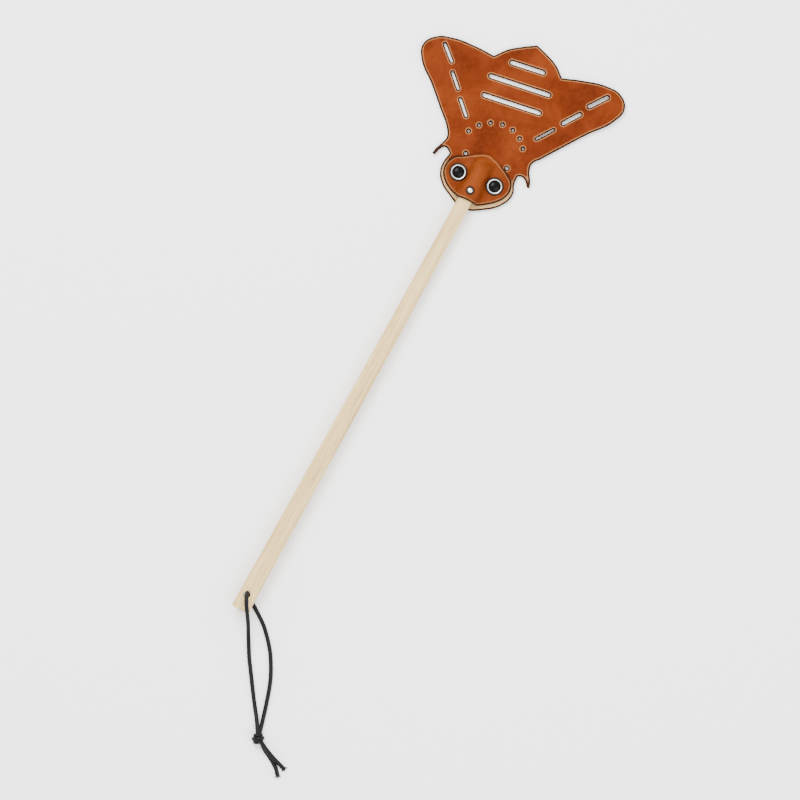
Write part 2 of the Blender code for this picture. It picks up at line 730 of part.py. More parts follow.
def heading(angle):
    """Unit vector in the table's plane."""
    return Vector((math.cos(angle), math.sin(angle), 0))


def bend_points():
    """The cord through the hang hole, from above the stick to below it."""
    radius = stick_radius(HOLE_FROM_BUTT)
    high = HOLE_AXIS_Z + radius - BEND_IN_HOLE + CORD_BEND
    low = HOLE_AXIS_Z - radius - GAP - CORD_RADIUS
    up = Vector((0, 0, 1))
    front = heading(FRONT_HEADING)
    back = heading(BACK_HEADING)
    axis = Vector((HOLE_OFFSET, HOLE_FROM_BUTT, 0)) - (front + back).normalized() * HOLE_SLACK
    points = []
    for degrees in (-20, -10, 0, 15, 30, 45, 60, 75, 90):
        angle = math.radians(degrees)
        reach = CORD_BEND * (1 - math.sin(angle))
        drop = CORD_BEND * (1 - math.cos(angle))
        points.append(axis + front * reach + up * (high - drop))
    for degrees in (90, 75, 60, 45, 30, 15, 0):
        angle = math.radians(degrees)
        reach = CORD_BEND * (1 - math.sin(angle))
        rise = CORD_BEND * (1 - math.cos(angle))
        points.append(axis + back * reach + up * (low + rise))
    points.append(axis + back * CORD_REACH + up * low)
    return points


def knot_face(direction):
    """Where a cord meets the knot, just clear of it."""
    return KNOT_CENTRE + direction.normalized() * (KNOT_RADIUS + 2 * GAP)


def make_cord(parts, loop, black):
    """The hanging loop: a bend through the hole, two strands, the knot and two cut ends."""
    ends = bend_points()
    tube("cord_bend", ends, parts, loop, black)
    step = CORD_POINT_STEP * CORD_DIAMETER
    back = heading(BACK_HEADING)
    start = ends[0] + (ends[0] - ends[1]).normalized() * GAP
    route = [start] + [Vector(p) * MM for p in FRONT_ROUTE] + [knot_face(FRONT_ENTRY)]
    tube("cord_front", smooth_route(route, step), parts, loop, black)
    start = ends[-1] + back * GAP
    route = [start] + [Vector(p) * MM for p in BACK_ROUTE] + [knot_face(BACK_ENTRY)]
    tube("cord_back", smooth_route(route, step), parts, loop, black)
    route = [knot_face(TAIL_A_LEAVE)] + [Vector(p) * MM for p in TAIL_A_ROUTE]
    tube("cord_tail_a", smooth_route(route, step), parts, loop, black)
    route = [knot_face(TAIL_B_LEAVE)] + [Vector(p) * MM for p in TAIL_B_ROUTE]
    tube("cord_tail_b", smooth_route(route, step), parts, loop, black)
    mesh = bpy.data.meshes.new("cord_knot")
    shape = bmesh.new()
    bmesh.ops.create_uvsphere(shape, u_segments=20, v_segments=12, radius=KNOT_RADIUS)
    shape.to_mesh(mesh)
    shape.free()
    knot = add_object("cord_knot", mesh, parts, loop, black)
    knot.location = KNOT_CENTRE - loop.location
    smooth(knot)


def centre_on_origin(parts, root):
    """Move the whole swatter so that its stick and head's box stands over the origin."""
    bpy.context.view_layer.update()
    graph = bpy.context.evaluated_depsgraph_get()
    corners = []
    for item in parts.objects:
        if item.type == "EMPTY" or item.name.startswith("cord_"):
            continue
        solid = item.evaluated_get(graph)
        mesh = solid.to_mesh()
        corners += [solid.matrix_world @ vert.co for vert in mesh.vertices]
        solid.to_mesh_clear()
    for axis in (0, 1):
        values = [corner[axis] for corner in corners]
        root.location[axis] = -(min(values) + max(values)) / 2
    bpy.context.view_layer.update()


def main():
    """Build the swatter."""
    clear_scene()
    parts = new_collection("fly_swatter")
    cutters = new_collection("cutters")
    wood = make_material("beech", (0.72, 0.58, 0.39), 0.55)
    leather = make_material("tan_leather", (0.36, 0.075, 0.014), 0.5)
    nickel = make_material("nickel", (0.66, 0.66, 0.64), 0.25, 1.0)
    black = make_material("black_cord", (0.012, 0.012, 0.012), 0.6)
    glossy = make_material("black_pupil", (0.008, 0.008, 0.008), 0.15)

    root = add_object("swatter_origin", None, parts)
    flex = add_object("flex_axis", None, parts, root)
    line = head_point(0, FLEX_LINE)
    flex.location = (line.x, line.y, BODY_THICKNESS / 2)
    loop = add_object("loop_axis", None, parts, root)
    loop.location = (HOLE_OFFSET, HOLE_FROM_BUTT, HOLE_AXIS_Z)

    make_handle(parts, cutters, root, wood)
    make_body(parts, cutters, root, flex, leather)
    make_face(parts, cutters, root, leather)
    for name, side in (("left", -1), ("right", 1)):
        make_eyelet("eyelet_" + name, side, parts, root, nickel)
        make_pupil("pupil_" + name, side, parts, root, glossy)
        make_washer("eyelet_washer_" + name, EYE_BARREL_RADIUS + GAP, EYE_WASHER_RADIUS,
                    eye_centre(side), parts, root, nickel)
    make_rivet(parts, root, nickel)
    make_washer("rivet_burr", RIVET_RADIUS + GAP, BURR_RADIUS, (0, RIVET_Y), parts, root, nickel)
    make_cord(parts, loop, black)
    for item in list(cutters.objects):
        item.parent = root
    centre_on_origin(parts, root)


main()
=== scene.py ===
"""Looks for the fly swatter: leather, beech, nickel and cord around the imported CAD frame.

Shapes are laid out in millimetres from the middle of the stick's butt, with +Y along the stick,
+X to its right and +Z up.  place() turns such a point into the frame's own metres.
"""
import json
import random
from math import atan2, cos, exp, hypot, pi, radians, sin, sqrt, tan
from math import degrees as to_degrees

import bmesh
import bpy
import numpy as np
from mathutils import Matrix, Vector, geometry, noise


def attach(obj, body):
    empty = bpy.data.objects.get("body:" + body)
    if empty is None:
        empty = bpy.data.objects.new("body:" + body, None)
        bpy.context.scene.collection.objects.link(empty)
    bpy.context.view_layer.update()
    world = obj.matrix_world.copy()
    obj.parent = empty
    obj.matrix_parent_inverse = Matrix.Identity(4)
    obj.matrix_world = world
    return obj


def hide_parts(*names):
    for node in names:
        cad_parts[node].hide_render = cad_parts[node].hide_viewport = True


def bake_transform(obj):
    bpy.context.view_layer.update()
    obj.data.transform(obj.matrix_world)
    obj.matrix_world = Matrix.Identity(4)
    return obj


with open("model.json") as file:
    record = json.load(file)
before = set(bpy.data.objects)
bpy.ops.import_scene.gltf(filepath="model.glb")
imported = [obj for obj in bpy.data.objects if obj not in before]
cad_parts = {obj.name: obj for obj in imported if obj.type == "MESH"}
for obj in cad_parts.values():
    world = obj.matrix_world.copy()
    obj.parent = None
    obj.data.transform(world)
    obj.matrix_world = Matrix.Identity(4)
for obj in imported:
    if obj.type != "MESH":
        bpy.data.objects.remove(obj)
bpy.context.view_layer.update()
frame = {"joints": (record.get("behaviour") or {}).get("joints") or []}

MM = 0.001
RANDOM = random.Random(7)

# Stick and hang hole
HANDLE_LENGTH = 345.0
BUTT_RADIUS = 6.4
NECK_RADIUS = 5.0
TIP_RADIUS = 3.2
NECK_FROM_TIP = 24.0
BUTT_ROUND = 0.7
GAP = 0.3
HOLE_FROM_BUTT = 11.6
HOLE_OFFSET = -0.9
HOLE_RADIUS = 2.4
HOLE_FLARE = 1.2

# Leather
BODY_THICKNESS = 2.8
FLAP_THICKNESS = 2.0
FLAP_BASE = BODY_THICKNESS + GAP
FLAP_TOP = FLAP_BASE + FLAP_THICKNESS
HEAD_TURN = radians(4.95)
HEAD_SKEW = radians(5.58)
RIVET_IN_HEAD = (-2.0, -64.2)
FACE_SHIFT = -1.4
FACE_SHIFT_FROM = -30.0
FACE_SHIFT_FULL = -45.0
FLEX_LINE = -33.0
FLAP_SLOPE = radians(62)
FLAP_FILLET = 1.6
FLAP_FALL = 11.0
EYE_FLAT_MARGIN = 2.0

# Eyes and nose
EYE_FROM_TIP = 6.8
EYE_SPACING = 26.9
EYE_TURN = radians(7.0)
EYE_HOLE_RADIUS = 4.05
EYE_BARREL_RADIUS = 4.55
EYE_RIM_RADIUS = 5.95
EYE_RIM_HEIGHT = 1.15
RIVET_FROM_TIP = 16.1
RIVET_RADIUS = 1.25
RIVET_HEAD_RADIUS = 2.5
RIVET_HEAD_HEIGHT = 1.4
SINK_DEPTH = 1.6

# Cord
CORD_RADIUS = 1.5
CORD_BEND = 6.0
BEND_IN_HOLE = 0.3
HOLE_SLACK = 0.55
FRONT_HEADING = radians(-60.6)
BACK_HEADING = radians(-34.5)
KNOT_CENTRE = Vector((53.7, -72.4, 4.5))
KNOT_RADIUS = 4.5

NECK_Y = HANDLE_LENGTH - NECK_FROM_TIP
RIVET_Y = HANDLE_LENGTH - RIVET_FROM_TIP
EYE_Y = HANDLE_LENGTH - EYE_FROM_TIP

HOLE_PLACE = Vector(next(j["pos_m"] for j in frame["joints"] if j["name"] == "loop_swing"))
ORIGIN = Vector((HOLE_PLACE.x - HOLE_OFFSET * MM, HOLE_PLACE.y - HOLE_FROM_BUTT * MM, 0.0))


def place(x, y, z=0.0):
    """A point in the frame's metres from millimetres off the stick's butt."""
    return ORIGIN + Vector((x, y, z)) * MM


def stick_radius(y):
    """Radius of the stick at a distance from its butt."""
    if y < NECK_Y:
        return BUTT_RADIUS + (NECK_RADIUS - BUTT_RADIUS) * y / NECK_Y
    return NECK_RADIUS + (TIP_RADIUS - NECK_RADIUS) * (y - NECK_Y) / NECK_FROM_TIP


HOLE_AXIS_Z = 2 * CORD_RADIUS + GAP + stick_radius(HOLE_FROM_BUTT)
NECK_AXIS_Z = BODY_THICKNESS + GAP + NECK_RADIUS
STICK_PITCH = atan2(NECK_AXIS_Z - HOLE_AXIS_Z, NECK_Y - HOLE_FROM_BUTT)


def stick_axis_z(y):
    """Height of the stick's axis at a distance from its butt."""
    return HOLE_AXIS_Z + (y - HOLE_FROM_BUTT) * tan(STICK_PITCH)


def head_point(right, tailward):
    """Where a point of the fly's own drawing lies in the swatter's plane."""
    shifted = (FACE_SHIFT_FROM - tailward) / (FACE_SHIFT_FROM - FACE_SHIFT_FULL)
    across = right - RIVET_IN_HEAD[0] + FACE_SHIFT * min(max(shifted, 0.0), 1.0)
    along = tailward - RIVET_IN_HEAD[1]
    side = HEAD_TURN + HEAD_SKEW
    x = across * cos(side) - along * sin(HEAD_TURN)
    y = across * sin(side) + along * cos(HEAD_TURN)
    return Vector((x, RIVET_Y + y))


TAILWARD = Vector((-sin(HEAD_TURN + HEAD_SKEW), cos(HEAD_TURN + HEAD_SKEW)))
ACROSS = Vector((TAILWARD.y, -TAILWARD.x))


def eye_centre(side):
    """Centre of an eye: side is -1 for the left one and 1 for the right one."""
    reach = side * EYE_SPACING / 2
    return Vector((reach * cos(EYE_TURN), EYE_Y + reach * sin(EYE_TURN)))


# Camera, light and floor
CAMERA_HEIGHT = 3.0
VIEW_WIDTH = 0.5528
VIEW_CENTRE = (27.1, 179.4)
VIEW_TURN = radians(28.78)
SENSOR_WIDTH = 36.0
SURROUND_STRENGTH = 2.1
FLOOR_REACH = 4.0
FLOOR_DROP = 0.15
FLOOR_WHITE = 0.93
LAMPS = {"key": ((-0.75, 0.55, 1.5), 0.9, 52.0), "fill": ((0.9, -0.2, 1.7), 1.4, 30.0)}


def add_object(name, data):
    """A new object in the scene."""
    item = bpy.data.objects.new(name, data)
    bpy.context.scene.collection.objects.link(item)
    return item


def make_camera():
    """Look straight down, with the stick leaning to the picture's upper right."""
    data = bpy.data.cameras.new("camera")
    data.sensor_width = SENSOR_WIDTH
    data.lens = SENSOR_WIDTH * CAMERA_HEIGHT / VIEW_WIDTH
    data.clip_start = 0.05
    camera = add_object("camera", data)
    camera.location = place(*VIEW_CENTRE, CAMERA_HEIGHT / MM)
    camera.rotation_euler = (0, 0, VIEW_TURN)
    bpy.context.scene.camera = camera


def area_light(name, location, target, size, power):
    """A soft lamp that faces a target."""
    data = bpy.data.lights.new(name, "AREA")
    data.shape = "DISK"
    data.size = size
    data.energy = power
    lamp = add_object(name, data)
    lamp.location = location
    lamp.rotation_euler = (Vector(target) - Vector(location)).to_track_quat("-Z", "Y").to_euler()


def make_stage():
    """Pale floor, an even white surround and two soft lamps."""
    world = bpy.data.worlds.new("surround")
    world.use_nodes = True
    background = world.node_tree.nodes["Background"]
    background.inputs["Color"].default_value = (1.0, 1.0, 1.0, 1.0)
    background.inputs["Strength"].default_value = SURROUND_STRENGTH
    bpy.context.scene.world = world
    mesh = bpy.data.meshes.new("floor")
    corners = ((-1, -1), (1, -1), (1, 1), (-1, 1))
    mesh.from_pydata([(x * FLOOR_REACH, y * FLOOR_REACH, 0) for x, y in corners], [],
                     [(0, 1, 2, 3)])
    floor = add_object("floor", mesh)
    floor.location.z = -FLOOR_DROP * MM
    paper = bpy.data.materials.new("white_paper")
    paper.use_nodes = True
    shader = paper.node_tree.nodes["Principled BSDF"]
    shader.inputs["Base Color"].default_value = (FLOOR_WHITE, FLOOR_WHITE, FLOOR_WHITE, 1.0)
    shader.inputs["Roughness"].default_value = 0.9
    mesh.materials.append(paper)
    middle = place(*VIEW_CENTRE)
    for name, (offset, size, power) in LAMPS.items():
        area_light(name, middle + Vector(offset), middle, size, power)


# Materials
class Shader:
    """A Principled material and short ways to wire nodes into it."""

    def __init__(self, name):
        self.material = bpy.data.materials.new(name)
        self.material.use_nodes = True
        self.tree = self.material.node_tree
        self.out = self.tree.nodes["Principled BSDF"]
        self.coords = self.tree.nodes.new("ShaderNodeTexCoord").outputs["Object"]

    def node(self, kind, inputs=None, **settings):
        """Add a node, set its properties, and give its inputs values or links."""
        node = self.tree.nodes.new(kind)
        for key, value in settings.items():
            setattr(node, key, value)
        for key, value in (inputs or {}).items():
            self.put(node.inputs[key], value)
        return node

    def put(self, socket, value):
        """Link an output to a socket, or set its value."""
        if isinstance(value, bpy.types.NodeSocket):
            self.tree.links.new(value, socket)
        elif isinstance(value, tuple) and socket.type == "RGBA":
            socket.default_value = (*value, 1.0)
        else:
            socket.default_value = value

    def scaled(self, x, y, z):
        """Object coordinates times a scale."""
        inputs = {"Vector": self.coords, "Scale": (x, y, z)}
        return self.node("ShaderNodeMapping", inputs).outputs[0]

    def noise(self, scale, detail=3.0, roughness=0.55, distortion=0.0, vector=None):
        """Noise; scale is how many cells a metre holds."""
        return self.node("ShaderNodeTexNoise", {
            "Vector": vector or self.coords, "Scale": scale, "Detail": detail,
            "Roughness": roughness, "Distortion": distortion}).outputs["Fac"]

    def cells(self, scale, feature="F1"):
        """Voronoi distance."""
        return self.node("ShaderNodeTexVoronoi", {"Vector": self.coords, "Scale": scale},
                         feature=feature).outputs["Distance"]

    def ramp(self, value, stops):
        """A colour ramp of (position, colour) stops."""
        node = self.node("ShaderNodeValToRGB", {"Fac": value})
        elements = node.color_ramp.elements
        while len(elements) < len(stops):
            elements.new(0.5)
        for element, (position, colour) in zip(elements, stops):
            element.position = position
            element.color = (*colour, 1.0)
        return node.outputs["Color"]

    def mix(self, share, a, b):
        """Mix two colours."""
        node = self.node("ShaderNodeMix", data_type="RGBA")
        self.put(node.inputs[0], share)
        self.put(node.inputs[6], a)
        self.put(node.inputs[7], b)
        return node.outputs[2]

    def maths(self, operation, a, b):
        """A Math node."""
        node = self.node("ShaderNodeMath", operation=operation)
        self.put(node.inputs[0], a)
        self.put(node.inputs[1], b)
        return node.outputs[0]

    def span(self, value, low, high, to_low=0.0, to_high=1.0):
        """Map a range onto another, clamped."""
        return self.node("ShaderNodeMapRange", {
            "Value": value, "From Min": low, "From Max": high, "To Min": to_low,
            "To Max": to_high}).outputs["Result"]

    def attribute(self, name):
        """A value stored on the mesh."""
        return self.node("ShaderNodeAttribute", attribute_name=name).outputs["Fac"]

    def bump(self, height, strength, distance, normal=None):
        """A bump, chained after another."""
        inputs = {"Height": height, "Strength": strength, "Distance": distance}
        if normal is not None:
            inputs["Normal"] = normal
        return self.node("ShaderNodeBump", inputs).outputs["Normal"]

    def finish(self, **inputs):
        """Connect the Principled shader's inputs; underscores stand for spaces."""
        for key, value in inputs.items():
            self.put(self.out.inputs[key.replace("_", " ")], value)
        return self.material


# Dark, middle and light tones of each leather, and the brown of its dyed cut edges, which also
# paints the shade round the eyes and nose
BODY_TONES = ((0.066, 0.0088, 0.0007), (0.094, 0.014, 0.0015), (0.128, 0.0225, 0.0034))
FACE_TONES = ((0.072, 0.0104, 0.0009), (0.1, 0.017, 0.002), (0.142, 0.03, 0.0048))
EDGE_DYE_AND_SHADE = (0.012, 0.0045, 0.002)


def leather_material(name, dark, middle, light):
    """Mottled cowhide: full grain above, suede below, burnished dark cut edges, a painted highlight
    line inside them, a painted highlight on raised parts and painted shade round eyes and nose.
    """
    s = Shader(name)
    clouds = s.noise(38, 6, 0.6, 0.6)
    colour = s.ramp(clouds, [(0.36, dark), (0.5, middle), (0.66, light)])
    speckle = s.noise(420, 4, 0.7)
    colour = s.mix(s.span(speckle, 0.42, 0.66, 0.0, 0.34), colour, light)
    stains = s.noise(95, 3, 0.5, 0.9)
    colour = s.mix(s.span(stains, 0.56, 0.74, 0.0, 0.4), colour, dark)
    # Painted highlight: the leather gets lighter where it rises over the stick.
    colour = s.mix(s.span(s.attribute("dome_highlight"), 0.25, 1.0, 0.0, 0.5), colour, light)
    pores = s.cells(1500)
    colour = s.mix(s.span(pores, 0.0, 0.28, 0.28, 0.0), colour, dark)
    suede = s.mix(s.noise(900, 5, 0.8), (0.235, 0.085, 0.03), (0.36, 0.16, 0.066))
    flesh = s.attribute("flesh")
    colour = s.mix(flesh, colour, suede)
    edge = s.maths("ADD", s.attribute("edge_mm"), s.span(s.noise(700, 3), 0.3, 0.7, -0.16, 0.16))
    edge = s.maths("SUBTRACT", edge, s.attribute("broad"))
    # Painted highlight: a light line just inside the dark cut edge.
    edge_highlight = s.maths("MULTIPLY", s.span(edge, 0.85, 1.1), s.span(edge, 1.25, 1.7, 1.0, 0.0))
    colour = s.mix(s.maths("MULTIPLY", edge_highlight, s.attribute("edge_highlight")), colour, (0.4, 0.215, 0.085))
    strip = s.maths("MULTIPLY", s.attribute("chin"), s.span(edge, 0.7, 1.1))
    colour = s.mix(strip, colour, (0.46, 0.3, 0.14))
    band = s.maths("MULTIPLY", s.span(edge, 0.62, 1.0, 1.0, 0.0), s.attribute("burnish"))
    colour = s.mix(s.maths("MULTIPLY", band, 0.95), colour, EDGE_DYE_AND_SHADE)
    # Painted shade: dark rings in the leather round the eyes and nose.
    rim_shade = s.attribute("rim_shade")
    colour = s.mix(s.maths("MULTIPLY", rim_shade, 0.92), colour, EDGE_DYE_AND_SHADE)
    fibres = s.noise(1600, 3, 0.7, vector=s.scaled(1, 1, 3))
    colour = s.mix(s.maths("MULTIPLY", s.span(fibres, 0.56, 0.72), s.maths("MULTIPLY", band, 0.25)),
                   colour, (0.1, 0.04, 0.015))
    wrinkles = s.cells(820, "DISTANCE_TO_EDGE")
    fine = s.noise(2600, 4, 0.7)
    creases = s.noise(150, 4, 0.6, 1.5, vector=s.scaled(1, 0.35, 1))
    normal = s.bump(s.span(wrinkles, 0.0, 0.1), 0.22, 0.0001)
    normal = s.bump(fine, 0.25, 0.00008, normal)
    normal = s.bump(creases, 0.35, 0.0006, normal)
    rough = s.span(s.noise(120, 4, 0.6), 0.3, 0.7, 0.4, 0.58)
    rough = s.maths("ADD", rough, s.maths("MULTIPLY", flesh, 0.3))
    return s.finish(Base_Color=colour, Roughness=rough, Normal=normal, Specular_IOR_Level=0.03)


def beech_material():
    """Pale beech with long grain and short dark ray flecks, and painted shade as a patchy dark line
    along the stick's left side.
    """
    s = Shader("beech_wood")
    broad = s.noise(120, 3, 0.5, 0.4, vector=s.scaled(1, 0.035, 1))
    lines = s.noise(1000, 4, 0.65, 0.3, vector=s.scaled(1, 0.022, 1))
    flecks = s.noise(1900, 2, 0.5, vector=s.scaled(1, 0.11, 1))
    pale, warm, deep = (0.68, 0.5, 0.225), (0.52, 0.345, 0.13), (0.3, 0.165, 0.055)
    colour = s.mix(s.span(broad, 0.38, 0.6), pale, warm)
    colour = s.mix(s.span(lines, 0.46, 0.7, 0.0, 0.62), colour, deep)
    colour = s.mix(s.span(flecks, 0.62, 0.7, 0.0, 0.55), colour, (0.22, 0.12, 0.042))
    light = s.noise(1400, 3, 0.6, vector=s.scaled(1, 0.05, 1))
    colour = s.mix(s.span(light, 0.58, 0.75, 0.0, 0.35), colour, (0.8, 0.65, 0.38))
    rings = s.node("ShaderNodeTexWave", {
        "Vector": s.scaled(1, 0.2, 1), "Scale": 130.0, "Distortion": 3.0, "Detail": 3.0},
        wave_type="RINGS").outputs["Fac"]
    cut = s.mix(rings, (0.6, 0.43, 0.23), (0.43, 0.27, 0.12))
    colour = s.mix(s.attribute("end_grain"), colour, cut)
    # Painted shade: a patchy dark line along the stick's left side.
    colour = s.mix(s.maths("MULTIPLY", s.attribute("side_shade"), 0.75), colour, (0.13, 0.065, 0.025))
    colour = s.mix(s.attribute("worn"), colour, (0.4, 0.25, 0.12))
    normal = s.bump(lines, 0.12, 0.00015)
    normal = s.bump(flecks, 0.1, 0.00008, normal)
    rough = s.span(broad, 0.3, 0.7, 0.46, 0.6)
    return s.finish(Base_Color=colour, Roughness=rough, Normal=normal, Specular_IOR_Level=0.08)


def nickel_material():
    """Bright nickel plate with fine handling scratches and dull spots, and a painted dark
    reflection on the outer slopes of the eyelet rims and the nose.
    """
    s = Shader("nickel_plate")
    dull = s.noise(900, 4, 0.65)
    scratches = s.noise(4200, 2, 0.5, vector=s.scaled(1, 0.08, 1))
    colour = s.mix(s.span(dull, 0.35, 0.7), (0.8, 0.785, 0.75), (0.6, 0.59, 0.56))
    # Painted reflection: near black on the outer slopes of the rims and the nose.
    dark_reflection = s.attribute("dark_reflection")
    colour = s.mix(s.maths("MULTIPLY", dark_reflection, 0.97), colour, (0.018, 0.017, 0.016))
    normal = s.bump(scratches, 0.08, 0.00003)
    rough = s.maths("ADD", s.span(dull, 0.3, 0.7, 0.16, 0.34), s.maths("MULTIPLY", dark_reflection, 0.35))
    return s.finish(Base_Color=colour, Metallic=1.0, Roughness=rough, Normal=normal)


def pupil_material():
    """Glossy black with faint dust and rub marks."""
    s = Shader("black_gloss")
    dust = s.noise(2300, 5, 0.7)
    colour = s.mix(s.span(dust, 0.55, 0.8, 0.0, 0.3), (0.003, 0.003, 0.0035), (0.016, 0.016, 0.016))
    rough = s.span(s.noise(700, 3), 0.3, 0.7, 0.08, 0.22)
    return s.finish(Base_Color=colour, Roughness=rough, Specular_IOR_Level=0.045)


def cord_material():
    """Black braid, a little waxy: smoother and painted lighter on its crowns, duller between its
    strands, with painted shade in the hollows.
    """
    s = Shader("black_braid")
    braid = s.attribute("braid")
    strands = s.noise(5200, 3, 0.6)
    # Painted shade between the strands, and painted light on their crowns.
    colour = s.mix(braid, (0.001, 0.001, 0.0012), (0.005, 0.005, 0.0055))
    colour = s.mix(s.span(strands, 0.58, 0.76, 0.0, 0.35), colour, (0.016, 0.016, 0.017))
    normal = s.bump(strands, 0.35, 0.00012)
    rough = s.span(s.maths("ADD", braid, s.noise(260, 3)), 0.5, 1.5, 0.58, 0.34)
    return s.finish(Base_Color=colour, Roughness=rough, Normal=normal, Specular_IOR_Level=0.12)


# Outlines
# Points are right of (or, in LEFT_, left of) the middle and towards the tail.
CORNER = True
TAIL = [(0.0, 46.7, CORNER), (9.3, 42.3), (17.8, 37.3), (24.7, 30.3, CORNER)]
RIGHT_TIP = [(38.0, 33.1), (56.0, 34.6), (67.0, 31.9), (73.3, 23.5)]
LEFT_TIP = [(38.0, 32.5), (56.0, 33.3), (66.8, 30.6), (73.1, 22.9)]
WING_EDGE = [(70.2, 13.2), (56.1, -2.1), (44.5, -15.5), (34.6, -27.2)]
RIGHT_HORN = [
    (30.0, -33.2), (31.4, -38.8), (35.1, -45.0), (36.3, -49.4, CORNER),
    (34.3, -49.1, CORNER), (31.7, -45.4), (28.3, -43.4), (25.4, -44.1, CORNER),
]
LEFT_HORN = [
    (31.6, -33.2), (32.6, -38.2), (34.4, -42.9), (35.3, -46.9, CORNER),
    (33.3, -47.6, CORNER), (31.8, -43.0), (29.3, -40.3), (24.2, -43.4, CORNER),
]
RIGHT_FACE = [
    (25.6, -49.8), (27.6, -56.5), (24.4, -65.4), (13.5, -73.4),
    (0.0, -77.2),
]
LEFT_FACE = [
    (25.8, -51.0), (25.2, -57.4), (21.3, -64.2), (12.9, -70.9),
    (0.0, -77.2),
]
RIGHT_FLAP = [
    (0.0, -36.0), (6.7, -38.1), (12.5, -41.1), (18.9, -45.3),
    (22.9, -49.0), (24.9, -54.5), (24.2, -59.4), (20.5, -64.7),
    (13.0, -69.9), (7.5, -72.6, CORNER), (0.0, -71.2),
]
LEFT_FLAP = [
    (0.0, -36.0), (8.6, -38.7), (14.5, -41.8), (19.8, -44.3),
    (23.2, -49.4), (23.6, -55.5), (21.0, -60.9), (15.4, -66.3),
    (7.0, -70.7, CORNER), (0.0, -71.2),
]
TAIL_SLOTS = [(11.3, 29.8), (20.9, 16.3), (19.9, 2.4)]
WING_DASHES = [
    ((50.0, 17.5), (59.0, 27.3)), ((38.2, 0.8), (46.3, 10.3)), ((25.5, -15.4), (33.9, -5.6)),
]
SLOT_WIDTH = 2.5
LEFT_DASH_WIDTHS = (1.6, 1.6, 1.6)
RIGHT_DASH_WIDTHS = (2.2, 2.2, 1.3)
DOT_RADIUS = 0.9
BROW_RADIUS = 1.1
DOT_ARC_CENTRE = (0.0, -35.6)
DOT_ARC_RADIUS = 22.5
DOT_ARC_ANGLES = (-61, -41, -21, 0, 21, 41, 61)
BROW_HOLES = [(-14.3, -40.1), (16.1, -41.0)]
PUNCH_SLACK = 0.1
BODY_STEP = 0.8
FACE_STEP = 0.6


def outline(right_half, left_half, step):
    """Even points along the smooth closed outline through both halves."""
    both = list(right_half)
    both += [(-left, tailward, *corner) for left, tailward, *corner in reversed(left_half[1:-1])]
    curve = bpy.data.curves.new("outline", "CURVE")
    curve.dimensions = "2D"
    spline = curve.splines.new("BEZIER")
    spline.bezier_points.add(len(both) - 1)
    spline.use_cyclic_u = True
    for knot, (right, tailward, *_) in zip(spline.bezier_points, both):
        knot.co = (*head_point(right, tailward), 0.0)
    for knot, (_, _, *corner) in zip(spline.bezier_points, both):
        knot.handle_left_type = knot.handle_right_type = "VECTOR" if corner else "AUTO"
    loop = []
    knots = list(spline.bezier_points)
    for start, end in zip(knots, knots[1:] + knots[:1]):
        count = max(int((end.co - start.co).length / step), 2)
        line = geometry.interpolate_bezier(start.co, start.handle_right, end.handle_left, end.co,
                                           count + 1)
        loop += [Vector((p.x, p.y)) for p in line[:-1]]
    bpy.data.curves.remove(curve)
    return loop


def circle(centre, radius, count):
    """A closed round loop."""
    return [Vector((centre[0] + radius * cos(2 * pi * i / count),
                    centre[1] + radius * sin(2 * pi * i / count))) for i in range(count)]


def slot(start, end, width, step=0.8):
    """A closed loop round a slot with round ends."""
    along = (end - start).normalized()
    side = Vector((-along.y, along.x))
    loop = []
    sides = max(int((end - start).length / step), 2)
    for first, last, out in ((start, end, along), (end, start, -along)):
        right = -side if out == along else side
        for i in range(sides):
            loop.append(first.lerp(last, i / sides) + right * width / 2)
        for i in range(8):
            angle = pi * i / 8
            loop.append(last + (right * cos(angle) + out * sin(angle)) * width / 2)
    return loop


def turned_to(loop, anticlockwise):
    """The loop in the asked direction."""
    area = sum(a.x * b.y - b.x * a.y for a, b in zip(loop, loop[1:] + loop[:1]))
    return loop if (area > 0) == anticlockwise else loop[::-1]


def inset(loop, distance):
    """Move a loop towards the leather, which is on its left."""
    moved = []
    for before, here, after in zip(loop[-1:] + loop[:-1], loop, loop[1:] + loop[:1]):
        a = (here - before).normalized()
        b = (after - here).normalized()
        normal = Vector((-a.y - b.y, a.x + b.x))
        if normal.length < 1e-6:
            normal = Vector((-a.y, a.x))
        normal.normalize()
        cosine = max(normal.dot(Vector((-a.y, a.x))), 0.6)
        moved.append(here + normal * distance / cosine)
    return moved


def inside(points, loops):
    """Even-odd test of an (n, 2) array against closed loops."""
    result = np.zeros(len(points), bool)
    for loop in loops:
        a = np.array(loop)
        b = np.roll(a, -1, axis=0)
        for (ax, ay), (bx, by) in zip(a, b):
            if ay == by:
                continue
            crosses = (points[:, 1] < ay) != (points[:, 1] < by)
            x = ax + (points[:, 1] - ay) * (bx - ax) / (by - ay)
            result ^= crosses & (points[:, 0] < x)
    return result


def nearest(points, targets):
    """Distance from each point to the nearest target."""
    best = np.full(len(points), 1e9)
    for start in range(0, len(targets), 256):
        chunk = targets[start:start + 256]
        far = np.linalg.norm(points[:, None, :] - chunk[None, :, :], axis=2).min(1)
        best = np.minimum(best, far)
    return best


def mesh_object(name, verts, faces, material, attributes=None):
    """A smooth mesh object in the frame's metres from millimetre points."""
    mesh = bpy.data.meshes.new(name)
    mesh.from_pydata([place(*v) for v in verts], [], faces)
    for key, values in (attributes or {}).items():
        mesh.attributes.new(key, "FLOAT", "POINT").data.foreach_set("value", values)
    shape = bmesh.new()
    shape.from_mesh(mesh)
    bmesh.ops.recalc_face_normals(shape, faces=shape.faces)
    shape.to_mesh(mesh)
    shape.free()
    mesh.shade_smooth()
    mesh.materials.append(material)
    return add_object(name, mesh)


ROW_PITCH = 0.866
EDGE_RINGS = (0.75, 1.1, 1.5)
EDGE_CLEAR = 1.9
BEVEL_ANGLES = (25, 50, 72, 90)
WAIST = 0.04
BORDER_REACH = 2.2
BORDER_EXTRA = 0.3


